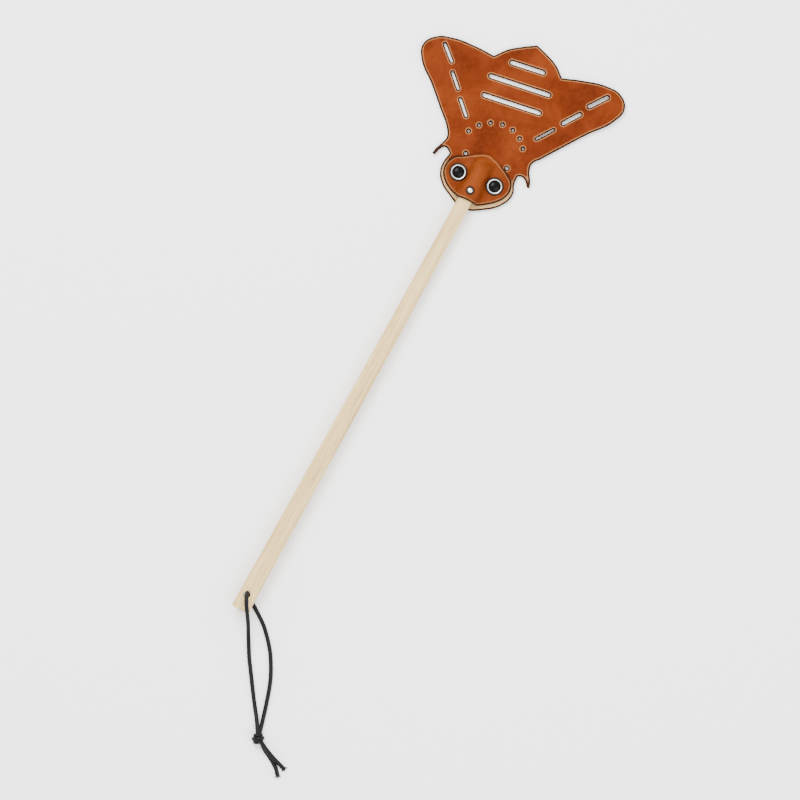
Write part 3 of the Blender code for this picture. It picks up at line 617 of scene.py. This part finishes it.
def leather_piece(name, border, holes, bottom, top, spacing, band, rounding, marks, material):
    """A sheet of leather between two height fields, with rounded cut edges on every loop.

    Points well inside are spacing apart, and within band of an edge they are twice as close.  The
    mesh stores its distance to an edge, "flesh", 1 underneath, how high it rises for a painted
    highlight, and what marks(x, y) gives, each from 0 to 1: the dyed edge band, a painted
    highlight line inside it, the chin strip and painted shade round eyes and nose.
    """
    loops = [turned_to(border, True)] + [turned_to(hole, False) for hole in holes]
    caps = [inset(loop, rounding) for loop in loops]
    cap_loops = [[tuple(p) for p in loop] for loop in caps]
    edge_points = np.array([p for loop in loops for p in loop])
    low, high = edge_points.min(0), edge_points.max(0)
    half = spacing / 2
    rows = int((high[1] - low[1]) / (half * ROW_PITCH)) + 2
    columns = int((high[0] - low[0]) / half) + 2
    grid = []
    for j in range(rows):
        for i in range(columns):
            coarse = j % 2 == 0 and (i + j // 2) % 2 == 0
            grid.append((low[0] + (i + 0.5 * (j % 2)) * half, low[1] + j * half * ROW_PITCH,
                         coarse))
    grid = np.array(grid)
    grid = grid[inside(grid[:, :2], cap_loops)]
    away = nearest(grid[:, :2], np.array([p for loop in caps for p in loop]))
    keep = (away > half * 0.55) & ((away < band) | (grid[:, 2] > 0.5))
    keep &= (away < 0.05) | (away > EDGE_CLEAR - rounding)
    inner = [Vector(p) for p in grid[keep][:, :2]]
    for into in EDGE_RINGS:
        ring = np.array([tuple(p) for loop in loops for p in inset(loop, into)])
        ring = ring[inside(ring, cap_loops)]
        clear = nearest(ring, edge_points) > into * 0.93
        inner += [Vector(p) for p in ring[clear]]
    points, edges = [], []
    for loop in caps:
        first = len(points)
        points += loop
        edges += [(first + i, first + (i + 1) % len(loop)) for i in range(len(loop))]
    on_loops = len(points)
    points += inner
    flat, _, triangles, origins, _, _ = geometry.delaunay_2d_cdt(points, edges, [], 0, 1e-5)
    centres = np.array([sum((flat[i] for i in face), Vector((0, 0))) / 3 for face in triangles])
    kept = inside(centres, cap_loops)
    triangles = [face for face, good in zip(triangles, kept) if good]
    where = {source: index for index, sources in enumerate(origins) for source in sources}
    used = sorted({i for face in triangles for i in face} | {where[i] for i in range(on_loops)})
    renumber = {old: new for new, old in enumerate(used)}
    cap = [flat[i] for i in used]
    triangles = [[renumber[i] for i in face] for face in triangles]
    count = len(cap)
    verts = [(p.x, p.y, top(p.x, p.y)) for p in cap] + [(p.x, p.y, bottom(p.x, p.y)) for p in cap]
    faces = triangles + [[count + i for i in reversed(face)] for face in triangles]
    flat_cap = np.array([tuple(p) for p in cap])
    distance = nearest(flat_cap, edge_points)
    from_border = nearest(flat_cap, np.array([tuple(p) for p in loops[0]]))
    broad = [BORDER_EXTRA if d < BORDER_REACH else 0.0 for d in from_border] * 2
    edge_mm = list(distance) * 2
    flesh = [0.0] * count + [1.0] * count
    rings = []
    for angle in BEVEL_ANGLES:
        a = radians(angle)
        rings.append((rounding * (1 - sin(a)), rounding * (1 - cos(a)), 1))
    rings.append((-WAIST, 0.0, 0))
    rings += [(into, depth, -1) for into, depth, _ in reversed(rings[:-1])]
    start = 0
    for loop in loops:
        size = len(loop)
        layers = [[renumber[where[start + i]] for i in range(size)]]
        for into, depth, side in rings:
            first = len(verts)
            for p in inset(loop, into):
                high_z, low_z = top(p.x, p.y), bottom(p.x, p.y)
                z = {1: high_z - depth, 0: (high_z + low_z) / 2, -1: low_z + depth}[side]
                verts.append((p.x, p.y, z))
                edge_mm.append(max(into, 0.0))
                broad.append(0.0)
                flesh.append(0.0)
            layers.append(list(range(first, first + size)))
        layers.append([count + i for i in layers[0]])
        for upper, lower in zip(layers, layers[1:]):
            for i in range(size):
                j = (i + 1) % size
                faces.append((upper[i], lower[i], lower[j], upper[j]))
        start += size
    dome_highlight = [dome_highlight_at(v[2]) for v in verts]
    marked = np.array([marks(v[0], v[1]) for v in verts], float).T
    attributes = dict(zip(("burnish", "edge_highlight", "chin", "rim_shade"), (list(row) for row in marked)))
    attributes.update({"edge_mm": edge_mm, "broad": broad, "flesh": flesh, "dome_highlight": dome_highlight})
    return mesh_object(name, verts, faces, material, attributes)


def ease(value, low, high):
    """Smooth step from 0 at low to 1 at high."""
    share = min(max((value - low) / (high - low), 0.0), 1.0)
    return share * share * (3 - 2 * share)


def body_marks(x, y):
    """Dark edge lines and, away from the chin, a painted highlight line inside them, and a pale
    strip where the sheet shows below the face.
    """
    chin = ease((head_point(0, -47.0) - Vector((x, y))).dot(TAILWARD), 0.0, 6.0)
    return 1.0, 0.45 * (1 - chin), 0.9 * chin, 0.0


def face_marks(x, y):
    """A strong edge line, weak at the brow, a painted highlight line inside it, and painted shade
    round eyes and nose.
    """
    here = Vector((x, y))
    brow = ease((here - head_point(0, -42.5)).dot(TAILWARD), 0.0, 2.5)
    brow *= 1 - ease(abs((here - head_point(1.5, -42.5)).dot(ACROSS)), 9.0, 15.0)
    # Painted shade round the eyelet rims and the rivet head.
    shade_round_rims = 0.0
    for side in (-1, 1):
        away = (here - eye_centre(side)).length
        shade_round_rims = max(shade_round_rims, 1 - ease(away, EYE_RIM_RADIUS + 0.15, EYE_RIM_RADIUS + 0.75))
    away = hypot(x, y - RIVET_Y)
    shade_round_rims = max(shade_round_rims, 1 - ease(away, RIVET_HEAD_RADIUS + 0.35, RIVET_HEAD_RADIUS + 1.0))
    return 1.0 - 0.8 * brow, 0.3 + 0.1 * brow, 0.0, shade_round_rims


def dome_highlight_at(z):
    """How far the leather is pulled up over the stick, from 0 to 1, which sets how much painted
    highlight it gets.
    """
    return min(max((z - FLAP_BASE - FLAP_THICKNESS - 1.0) / 8.0, 0.0), 1.0)


# The body sheet
def body_lift(x, y):
    """The sheet lies nearly flat, and rises a little towards its wing tips and tail."""
    from_face = (Vector((x, y)) - head_point(0, FLEX_LINE)).length
    wave = noise.noise(Vector((x / 34.0, y / 34.0, 3.7)))
    wave += 0.35 * noise.noise(Vector((x / 13, y / 13, 8.1)))
    return ease(from_face, 18.0, 63.0) * max(0.0, 0.55 + 0.9 * wave)


def make_body(material):
    """One fly-shaped sheet with every slot and hole that is punched through it."""
    border = outline(TAIL + RIGHT_TIP + WING_EDGE + RIGHT_HORN + RIGHT_FACE,
                     TAIL + LEFT_TIP + WING_EDGE + LEFT_HORN + LEFT_FACE, BODY_STEP)
    holes = [slot(head_point(-reach, tailward), head_point(reach, tailward), SLOT_WIDTH)
             for reach, tailward in TAIL_SLOTS]
    for (inner, outer), *widths in zip(WING_DASHES, LEFT_DASH_WIDTHS, RIGHT_DASH_WIDTHS):
        for side, width in zip((-1, 1), widths):
            holes.append(slot(head_point(side * inner[0], inner[1]),
                              head_point(side * outer[0], outer[1]), width))
    for degrees in DOT_ARC_ANGLES:
        a = radians(degrees)
        dot = head_point(DOT_ARC_CENTRE[0] + DOT_ARC_RADIUS * sin(a),
                         DOT_ARC_CENTRE[1] + DOT_ARC_RADIUS * cos(a))
        holes.append(circle(dot, DOT_RADIUS, 20))
    holes += [circle(head_point(*brow), BROW_RADIUS, 20) for brow in BROW_HOLES]
    holes += [circle(eye_centre(side), EYE_BARREL_RADIUS + PUNCH_SLACK, 40) for side in (-1, 1)]
    holes.append(circle((0.0, RIVET_Y), RIVET_RADIUS + PUNCH_SLACK, 20))
    body = leather_piece(
        "fly_leather", border, holes, body_lift, lambda x, y: BODY_THICKNESS + body_lift(x, y),
        spacing=2.2, band=3.0, rounding=0.42, marks=body_marks, material=material)
    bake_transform(body)
    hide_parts("body_leather_back", "body_leather_wings")


# The face
def dome_height(x, y, outward):
    """Height of the face over its flat rim, where it is pushed up by the stick."""
    on_stick = min(max(y, 0.0), HANDLE_LENGTH)
    radius = stick_radius(on_stick) + outward
    axis = stick_axis_z(on_stick) - (FLAP_BASE + outward - GAP)
    reach = radius * sin(FLAP_SLOPE)
    if abs(x) < reach:
        height = axis + sqrt(radius * radius - x * x)
    else:
        height = axis + radius * cos(FLAP_SLOPE) - (abs(x) - reach) * tan(FLAP_SLOPE)
    height = (height + sqrt(height * height + FLAP_FILLET * FLAP_FILLET)) / 2
    if y > HANDLE_LENGTH:
        fall = min((y - HANDLE_LENGTH) / FLAP_FALL, 1.0)
        height *= 0.5 + 0.5 * cos(pi * fall)
    for side in (-1, 1):
        away = (Vector((x, y)) - eye_centre(side)).length
        height *= ease(away - EYE_RIM_RADIUS - 2 * GAP, 0.0, EYE_FLAT_MARGIN)
    return height


def face_ripple(x, y):
    """Small folds where the moulded leather gathers beside the stick."""
    near = any((Vector((x, y)) - eye_centre(side)).length < EYE_RIM_RADIUS + 1.2
               for side in (-1, 1))
    if near or hypot(x, y - RIVET_Y) < RIVET_HEAD_RADIUS + 1.0:
        return 0.0
    folds = noise.noise(Vector((x / 3.1, y / 11.0, 5.3)))
    beside = exp(-((abs(x) - 8.0) / 3.0) ** 2)
    swell = max(noise.noise(Vector((x / 6, y / 6, 1.9))), 0.0)
    return 0.16 * beside * max(folds, -0.2) + 0.07 * swell


def make_face(material):
    """The moulded face over the stick, with its eyelet and rivet holes."""
    border = outline(RIGHT_FLAP, LEFT_FLAP, FACE_STEP)
    holes = [circle(eye_centre(side), EYE_BARREL_RADIUS + PUNCH_SLACK, 48) for side in (-1, 1)]
    holes.append(circle((0.0, RIVET_Y), RIVET_RADIUS + PUNCH_SLACK, 24))
    outer = GAP + FLAP_THICKNESS
    face = leather_piece(
        "fly_face", border, holes, lambda x, y: FLAP_BASE + dome_height(x, y, GAP),
        lambda x, y: FLAP_TOP + dome_height(x, y, outer) + face_ripple(x, y),
        spacing=1.2, band=40.0, rounding=0.4, marks=face_marks, material=material)
    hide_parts("face_flap")
    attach(face, "handle")


def tube_faces(rings):
    """Faces between rings of equally many points."""
    return [(a[i], a[(i + 1) % len(a)], b[(i + 1) % len(a)], b[i])
            for a, b in zip(rings, rings[1:]) for i in range(len(a))]


def fan(ring, middle):
    """Faces from a ring to a point in its middle."""
    return [(ring[i], ring[(i + 1) % len(ring)], middle) for i in range(len(ring))]


# Turned pieces
def lathe(name, profile, centre, segments, material, closed=False, dark_reflection=None, wobble=None):
    """Turn (radius, height) points about a vertical axis; the optional function of (radius, height)
    paints a dark reflection on it.
    """
    verts, faces, rings = [], [], []
    for number, (radius, height) in enumerate(profile):
        if radius < 1e-6:
            rings.append([len(verts)])
            verts.append((centre[0], centre[1], height))
            continue
        rings.append(list(range(len(verts), len(verts) + segments)))
        for i in range(segments):
            a = 2 * pi * i / segments
            r = radius + (wobble(number, a) if wobble else 0.0)
            verts.append((centre[0] + r * cos(a), centre[1] + r * sin(a), height))
    pairs = list(zip(rings, rings[1:]))
    if closed:
        pairs.append((rings[-1], rings[0]))
    for a, b in pairs:
        for i in range(segments):
            j = (i + 1) % segments
            if len(a) == 1:
                faces.append((a[0], b[i], b[j]))
            elif len(b) == 1:
                faces.append((a[i], b[0], a[j]))
            else:
                faces.append((a[i], b[i], b[j], a[j]))
    attributes = {}
    if dark_reflection:
        attributes["dark_reflection"] = [dark_reflection(hypot(x - centre[0], y - centre[1]), z)
                                 for x, y, z in verts]
    return mesh_object(name, verts, faces, material, attributes)


def rounded(corners, radius):
    """Round the corners of a closed (radius, height) profile."""
    steps, result = 3, []
    for before, here, after in zip(corners[-1:] + corners[:-1], corners, corners[1:] + corners[:1]):
        h = Vector(here)
        a = (Vector(before) - h).normalized() * radius
        b = (Vector(after) - h).normalized() * radius
        for i in range(steps + 1):
            t = i / steps
            result.append(tuple((1 - t) ** 2 * (h + a) + 2 * t * (1 - t) * h + t * t * (h + b)))
    return result


def domed(radius, foot, edge, height):
    """Profile of a low dome, from its top to its edge."""
    profile = [(0.0, foot + height)]
    for degrees in range(8, 89, 8):
        a = radians(degrees)
        profile.append((radius * sin(a), foot + edge + (height - edge) * cos(a)))
    return profile


def make_eyelet(name, side, metal):
    """Rolled rim, barrel and a clinched tail that split into petals when it was set."""
    seat = FLAP_TOP + 0.1
    middle = (EYE_HOLE_RADIUS + EYE_RIM_RADIUS) / 2
    half = (EYE_RIM_RADIUS - EYE_HOLE_RADIUS) / 2
    profile = []
    for degrees in range(180, -31, -10):
        a = radians(degrees)
        rise = EYE_RIM_HEIGHT if sin(a) > 0 else EYE_RIM_HEIGHT * 0.35
        profile.append((middle + half * cos(a), seat + 0.15 + rise * sin(a) * 0.95))
    profile += [(EYE_RIM_RADIUS - 0.35, seat - 0.02), (EYE_BARREL_RADIUS + 0.05, seat),
                (EYE_BARREL_RADIUS, seat - 0.3), (EYE_BARREL_RADIUS, 0.9),
                (EYE_BARREL_RADIUS + 0.1, 0.55)]
    tail = len(profile)
    profile += [(5.35, 0.52), (5.45, 0.32), (5.3, 0.14), (EYE_BARREL_RADIUS, 0.1)]
    profile += [(EYE_HOLE_RADIUS + 0.1, 0.35), (EYE_HOLE_RADIUS, 0.8),
                (EYE_HOLE_RADIUS, seat - 0.4)]

    def petals(number, angle):
        if tail <= number <= tail + 2:
            return -0.35 * abs(cos(3 * angle)) ** 12
        return 0.0

    # The rim's outer slope gets a painted dark reflection.
    eyelet = lathe(name + "_eyelet", profile, eye_centre(side), 96, metal, True,
                   lambda radius, z: ease(radius, 4.78, 5.05) * ease(z, 2.0, 4.0), petals)
    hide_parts("eyelet_" + name)
    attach(eyelet, "handle")


def make_washer(name, inner, outer, centre, node, metal):
    """A stamped washer with rounded edges."""
    corners = [(inner, SINK_DEPTH - 0.3), (outer, SINK_DEPTH - 0.3), (outer, 0.8), (inner, 0.8)]
    washer = lathe(name, rounded(corners, 0.14), centre, 72, metal, True)
    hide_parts(node)
    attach(washer, "handle")


def make_pupil(name, side, material):
    """A low glossy dome that closes the eyelet."""
    radius = EYE_HOLE_RADIUS - 0.04
    base, edge, height = 3.2, 0.7, 2.1
    profile = domed(radius, base, edge, height)
    profile += [(radius, base + edge - 0.1), (radius, base + 0.15), (radius - 0.15, base),
                (0.0, base)]
    pupil = lathe(name + "_pupil", profile, eye_centre(side), 64, material)
    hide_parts("pupil_" + name)
    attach(pupil, "handle")


def make_rivet(metal):
    """The nose: a domed cap with a turned-under lip, and its shank and spread tail."""
    seat = FLAP_TOP + dome_height(0, RIVET_Y, GAP + FLAP_THICKNESS) + 0.1
    head = RIVET_HEAD_RADIUS
    profile = domed(head, seat, 0.25, RIVET_HEAD_HEIGHT)
    profile += [(head, seat + 0.12), (head - 0.12, seat), (RIVET_RADIUS + 0.1, seat),
                (RIVET_RADIUS, seat - 0.2), (RIVET_RADIUS, 0.55), (2.0, 0.5), (2.1, 0.3),
                (1.9, 0.12), (0.0, 0.1)]
    # Outside its bright middle the cap gets a painted dark reflection.
    rivet = lathe("nose", profile, (0.0, RIVET_Y), 72, metal, False,
                  lambda radius, z: ease(radius, 1.15, 1.65) * ease(z, 6.0, 8.0))
    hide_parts("nose_rivet")
    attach(rivet, "handle")


# Stick
STICK_SIDES = 72
STICK_RINGS = 110
FIRST_RING = 2.0
# Where round the stick the painted shade line runs, in degrees, and how wide it is.
SHADED_SIDE_ANGLE = 172.0
SHADED_SIDE_WIDTH = 6.5


def make_stick(material):
    """The tapered stick, uneven as hand-sanded wood is, bored for the cord and the rivet."""
    stations = [(0.0, -0.9), (0.05, -0.45), (0.22, -0.15), (BUTT_ROUND, 0.0)]
    stations += [(FIRST_RING + i * (HANDLE_LENGTH - FIRST_RING) / STICK_RINGS, 0.0)
                 for i in range(STICK_RINGS + 1)]
    verts, rings, end_grain, side_shade = [], [], [], []
    for y, less in stations:
        rings.append(list(range(len(verts), len(verts) + STICK_SIDES)))
        tip = min(max(y - HANDLE_LENGTH + 1.0, 0.0), 1.0)
        for i in range(STICK_SIDES):
            a = 2 * pi * i / STICK_SIDES
            uneven = 0.05 * noise.noise(Vector((cos(a), sin(a), y / 40.0)))
            r = stick_radius(y) + less + uneven - tip
            verts.append((r * cos(a), y, stick_axis_z(y) + r * sin(a)))
            end_grain.append(1.0 if y < 0.1 else 0.0)
            # Painted shade: a patchy dark line down the stick's left side.
            stray = 4 * noise.noise(Vector((0.0, 3.3, y / 25.0)))
            off_left = (to_degrees(a) - SHADED_SIDE_ANGLE + stray) / SHADED_SIDE_WIDTH
            patchy = 0.65 + 0.7 * noise.noise(Vector((7.7, 0.0, y / 9.0)))
            side_shade.append(exp(-off_left ** 2) * min(max(patchy, 0.0), 1.0))
    faces = tube_faces(rings)
    for ring, y, grain in ((rings[0], 0.0, 1.0), (rings[-1], HANDLE_LENGTH, 0.0)):
        faces += fan(ring, len(verts))
        verts.append((0.0, y, stick_axis_z(y)))
        end_grain.append(grain)
        side_shade.append(0.0)
    hole = Vector((HOLE_OFFSET, HOLE_FROM_BUTT))
    worn = []
    for x, y, _ in verts:
        from_rim = max(hypot(x - hole.x, y - hole.y) - HOLE_RADIUS - 0.2, 0.0)
        worn.append(0.75 * exp(-from_rim / 0.9) + 0.3 * exp(-y / 0.9))
    stick = mesh_object("stick", verts, faces, material,
                        {"end_grain": end_grain, "worn": worn, "side_shade": side_shade})
    radius = stick_radius(HOLE_FROM_BUTT)
    high, low = HOLE_AXIS_Z + radius, HOLE_AXIS_Z - radius
    flare = []
    for i in range(7):
        a = radians(15 * i)
        flare.append((HOLE_RADIUS + HOLE_FLARE * (1 - sin(a)) * 0.8, HOLE_FLARE * cos(a)))
    profile = [(0.0, low - 2), (HOLE_RADIUS + HOLE_FLARE, low - 2)]
    profile += [(r, low + HOLE_FLARE - up) for r, up in flare]
    profile += [(r, high - HOLE_FLARE + up) for r, up in reversed(flare)]
    profile += [(HOLE_RADIUS + HOLE_FLARE, high + 2), (0.0, high + 2)]
    bore(stick, lathe("bore_hang", profile, hole, 48, material))
    wide = RIVET_RADIUS + PUNCH_SLACK
    shank = [(0.0, 0.5), (wide, 0.5), (wide, 20.0), (0.0, 20.0)]
    bore(stick, lathe("bore_rivet", shank, (0.0, RIVET_Y), 24, material))
    stick.data.set_sharp_from_angle(angle=radians(50))
    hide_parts("handle")
    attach(stick, "handle")


def bore(item, tool):
    """Cut a tool out of an object for good, and remove the tool."""
    step = item.modifiers.new("bore", "BOOLEAN")
    step.operation = "DIFFERENCE"
    step.solver = "EXACT"
    step.object = tool
    graph = bpy.context.evaluated_depsgraph_get()
    mesh = bpy.data.meshes.new_from_object(item.evaluated_get(graph))
    item.modifiers.clear()
    item.data = mesh
    bpy.data.objects.remove(tool, do_unlink=True)


# Cord
FRONT_ROUTE = [
    (5.2, 1.2, 19.6), (9.5, -5.7, 12.8), (13.3, -12.7, 6.4), (17.4, -19.9, 2.5),
    (21.6, -26.9, 1.5), (26.6, -34.0, 1.5), (31.5, -41.0, 1.5), (36.3, -47.8, 1.5),
    (41.2, -54.5, 1.6), (46.2, -61.0, 3.5),
]
BACK_ROUTE = [
    (7.0, 6.2, 1.5), (10.6, 3.9, 1.5), (14.2, 1.5, 1.5), (17.8, -1.1, 1.5), (21.2, -4.0, 1.5),
    (27.1, -10.1, 1.5), (32.5, -16.7, 1.5), (36.9, -23.7, 1.5), (41.0, -31.5, 1.5),
    (44.0, -39.0, 1.5), (46.6, -47.0, 1.5), (48.8, -54.2, 1.5), (50.8, -61.2, 1.7),
]
TAIL_A_ROUTE = [
    (61.6, -75.9, 5.7), (66.4, -78.0, 4.8), (70.8, -79.6, 4.0), (75.0, -81.0, 2.4),
    (78.9, -82.3, 1.5),
]
TAIL_B_ROUTE = [
    (60.9, -77.0, 2.0), (65.8, -79.6, 1.5), (70.2, -82.0, 1.5), (74.4, -84.9, 1.5),
    (77.8, -88.6, 1.5),
]
FRONT_ENTRY = Vector((-0.52, 0.8, 0.32))
BACK_ENTRY = Vector((-0.23, 0.93, -0.31))
TAIL_A_LEAVE = Vector((0.89, -0.34, 0.33))
TAIL_B_LEAVE = Vector((0.89, -0.36, -0.33))
PATH_STEP = 0.25
BRAID_STRANDS = 8
BRAID_PITCH = 1.45
BRAID_RELIEF = 0.16
KNOT_CORD_RADIUS = 1.45
KNOT_TURNS = 2.35
KNOT_START = 0.6
KNOT_COIL_RADIUS = 3.15
KNOT_LENGTH = 5.6
KNOT_POINTS = 120
FRAYS = 26
FRAY_RADIUS = 0.17
FRAY_POINTS = 6


def heading(angle):
    """Unit vector in the table's plane."""
    return Vector((cos(angle), sin(angle), 0.0))


def bend(direction, start, end, turn_height, sign):
    """Points of a quarter turn or more from level to upright, beside the hole's axis."""
    away = (heading(FRONT_HEADING) + heading(BACK_HEADING)).normalized() * HOLE_SLACK
    axis = Vector((HOLE_OFFSET, HOLE_FROM_BUTT, 0.0)) - away
    points = []
    for degrees in range(start, end, 10 if start < end else -10):
        a = radians(degrees)
        reach = CORD_BEND * (1 - sin(a))
        drop = CORD_BEND * (1 - cos(a))
        points.append(axis + direction * reach + Vector((0, 0, turn_height - sign * drop)))
    return axis, points


def even(points, step):
    """Even points on the smooth curve through a route, no lower than the table."""
    control = [points[0] * 2 - points[1], *points, points[-1] * 2 - points[-2]]
    fine = []
    for before, start, end, after in zip(control, control[1:], control[2:], control[3:]):
        for part in range(24):
            t = part / 24
            square = (2 * before - 5 * start + 4 * end - after) * t ** 2
            cube = (3 * start - before - 3 * end + after) * t ** 3
            fine.append(0.5 * (2 * start + (end - before) * t + square + cube))
    fine.append(points[-1])
    array = np.array(fine)
    array[:, 2] = np.maximum(array[:, 2], CORD_RADIUS + 0.07)
    for _ in range(6):
        array[1:-1] = (array[:-2] + 2 * array[1:-1] + array[2:]) / 4
    walked = np.concatenate([[0.0], np.cumsum(np.linalg.norm(np.diff(array, axis=0), axis=1))])
    count = max(int(round(walked[-1] / step)), 2)
    at = np.linspace(0.0, walked[-1], count + 1)
    return [Vector([np.interp(w, walked, array[:, k]) for k in range(3)]) for w in at]


def braid_height(angle, along):
    """Relief of a round braid, from 0 between its strands to 1 on a strand's crown."""
    a = BRAID_STRANDS * angle / (2 * pi) + along / BRAID_PITCH
    b = BRAID_STRANDS * angle / (2 * pi) - along / BRAID_PITCH
    one = cos(pi * a) ** 2 * (0.62 + 0.38 * sin(pi * (b + 0.5)))
    two = cos(pi * b) ** 2 * (0.62 - 0.38 * sin(pi * (a + 0.5)))
    return max(one, two)


def tube_parts(path, radius, relief, sides=40):
    """Vertices, faces and braid heights of a tube with rounded ends along evenly spaced points."""
    tangents = []
    for i in range(len(path)):
        before, after = path[max(i - 1, 0)], path[min(i + 1, len(path) - 1)]
        tangents.append((after - before).normalized())
    side = tangents[0].orthogonal().normalized()
    verts, heights, rings = [], [], []
    walked = 0.0
    for i, (point, tangent) in enumerate(zip(path, tangents)):
        if i:
            walked += (point - path[i - 1]).length
        side = (side - tangent * side.dot(tangent)).normalized()
        up = tangent.cross(side)
        left = min(i, len(path) - 1 - i)
        pinch = 1.0 if left > 2 else (0.72, 0.9, 0.98)[left]
        rings.append(list(range(len(verts), len(verts) + sides)))
        for k in range(sides):
            a = 2 * pi * k / sides
            h = braid_height(a, walked)
            r = radius * pinch + relief * (h - 0.65)
            verts.append(tuple(point + (side * cos(a) + up * sin(a)) * r))
            heights.append(h)
    faces = tube_faces(rings)
    for at, out in ((0, -1), (-1, 1)):
        faces += fan(rings[at], len(verts))
        verts.append(tuple(path[at] + tangents[at] * out * 0.12))
        heights.append(0.3)
    return verts, faces, heights


def make_strand(name, route, nodes, material):
    """One half of the hanging cord, from the hang hole through the knot to its cut end."""
    path = even(route, PATH_STEP)
    verts, faces, heights = tube_parts(path, CORD_RADIUS, BRAID_RELIEF)
    strand = mesh_object(name, verts, faces, material, {"braid": heights})
    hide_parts(*nodes)
    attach(strand, "cord_loop")


def knot_path():
    """A barrel knot: the cord dives out of the middle, wraps it and dives back in."""
    axis = (TAIL_A_LEAVE + TAIL_B_LEAVE - FRONT_ENTRY - BACK_ENTRY).normalized()
    side = axis.cross(Vector((0, 0, 1))).normalized()
    up = side.cross(axis)
    points = []
    for i in range(KNOT_POINTS + 1):
        t = i / KNOT_POINTS
        a = 2 * pi * KNOT_TURNS * t + KNOT_START
        radius = KNOT_COIL_RADIUS * (0.6 + 0.4 * sin(pi * t) ** 0.7)
        along = (t - 0.5) * KNOT_LENGTH
        points.append(KNOT_CENTRE + axis * along + (side * cos(a) + up * sin(a)) * radius)
    return points


def make_knot(material):
    """The wraps of the knot, lifted clear of the table."""
    path = even(knot_path(), PATH_STEP)
    verts, faces, heights = tube_parts(path, KNOT_CORD_RADIUS, BRAID_RELIEF)
    below = min(0.0, *(z for _, _, z in verts))
    verts = [(x, y, z - below) for x, y, z in verts]
    knot = mesh_object("knot", verts, faces, material, {"braid": heights})
    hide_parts("cord_knot")
    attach(knot, "cord_loop")
    return knot


def make_frays(name, end, direction, material):
    """Loose fibres at a cut end."""
    verts, faces, heights = [], [], []
    side = direction.cross(Vector((0, 0, 1))).normalized()
    for _ in range(FRAYS):
        spread = RANDOM.uniform(-0.75, 0.75)
        rise = RANDOM.uniform(-0.1, 0.3)
        length = RANDOM.uniform(1.3, 2.9)
        start = end + side * RANDOM.uniform(-1.0, 1.0) + Vector((0, 0, RANDOM.uniform(-0.9, 0.9)))
        start -= direction * 0.6
        heading_to = (direction + side * spread + Vector((0, 0, rise))).normalized()
        path = []
        for i in range(FRAY_POINTS + 1):
            t = i / FRAY_POINTS
            p = start + heading_to * length * t + side * spread * 0.9 * t * t
            p = p - Vector((0, 0, 0.8 * t * t))
            p.z = max(p.z, 0.22)
            path.append(p)
        more, sheet, high = tube_parts(path, FRAY_RADIUS, 0.0, sides=6)
        first = len(verts)
        verts += more
        faces += [tuple(first + i for i in face) for face in sheet]
        heights += high
    frays = mesh_object(name, verts, faces, material, {"braid": heights})
    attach(frays, "cord_loop")
    return frays


def make_cord():
    """Both strands, their knot and their frayed ends."""
    black = cord_material()
    radius = stick_radius(HOLE_FROM_BUTT)
    high = HOLE_AXIS_Z + radius - BEND_IN_HOLE + CORD_BEND
    axis, front_bend = bend(heading(FRONT_HEADING), 90, -21, high, 1)
    _, back_bend = bend(heading(BACK_HEADING), 90, -1, CORD_RADIUS, -1)
    middle = Vector((axis.x, axis.y, HOLE_AXIS_Z))
    in_knot = KNOT_CENTRE + Vector((0.3, 0.2, 0.9))
    under_knot = KNOT_CENTRE + Vector((-0.2, -0.1, -1.2))
    clear = KNOT_RADIUS - 0.9
    front = [middle, middle + Vector((0, 0, 2.5)), *front_bend, *map(Vector, FRONT_ROUTE),
             KNOT_CENTRE + FRONT_ENTRY.normalized() * clear, in_knot,
             KNOT_CENTRE + TAIL_A_LEAVE.normalized() * clear, *map(Vector, TAIL_A_ROUTE)]
    back = [middle, *back_bend, *map(Vector, BACK_ROUTE),
            KNOT_CENTRE + BACK_ENTRY.normalized() * clear, under_knot,
            KNOT_CENTRE + TAIL_B_LEAVE.normalized() * clear, *map(Vector, TAIL_B_ROUTE)]
    knot = make_knot(black)
    for name, route in (("frays_a", front), ("frays_b", back)):
        direction = (route[-1] - route[-2]).normalized()
        direction.z = 0.0
        make_frays(name, route[-1], direction.normalized(), black)
    make_strand("cord_over", front, ["cord_bend", "cord_front", "cord_tail_a"], black)
    make_strand("cord_under", back, ["cord_back", "cord_tail_b"], black)


make_camera()
make_stage()
make_cord()
body_leather = leather_material("tan_leather", *BODY_TONES)
face_leather = leather_material("tan_face", *FACE_TONES)
nickel = nickel_material()
gloss = pupil_material()
make_body(body_leather)
make_face(face_leather)
make_stick(beech_material())
for side_name, side_sign in (("left", -1), ("right", 1)):
    make_eyelet(side_name, side_sign, nickel)
    make_pupil(side_name, side_sign, gloss)
    make_washer(side_name + "_washer", EYE_BARREL_RADIUS + 0.25, EYE_BARREL_RADIUS + 1.95,
                eye_centre(side_sign), "eyelet_washer_" + side_name, nickel)
make_rivet(nickel)
make_washer("burr", RIVET_RADIUS + 0.2, 3.2, (0.0, RIVET_Y), "rivet_burr", nickel)
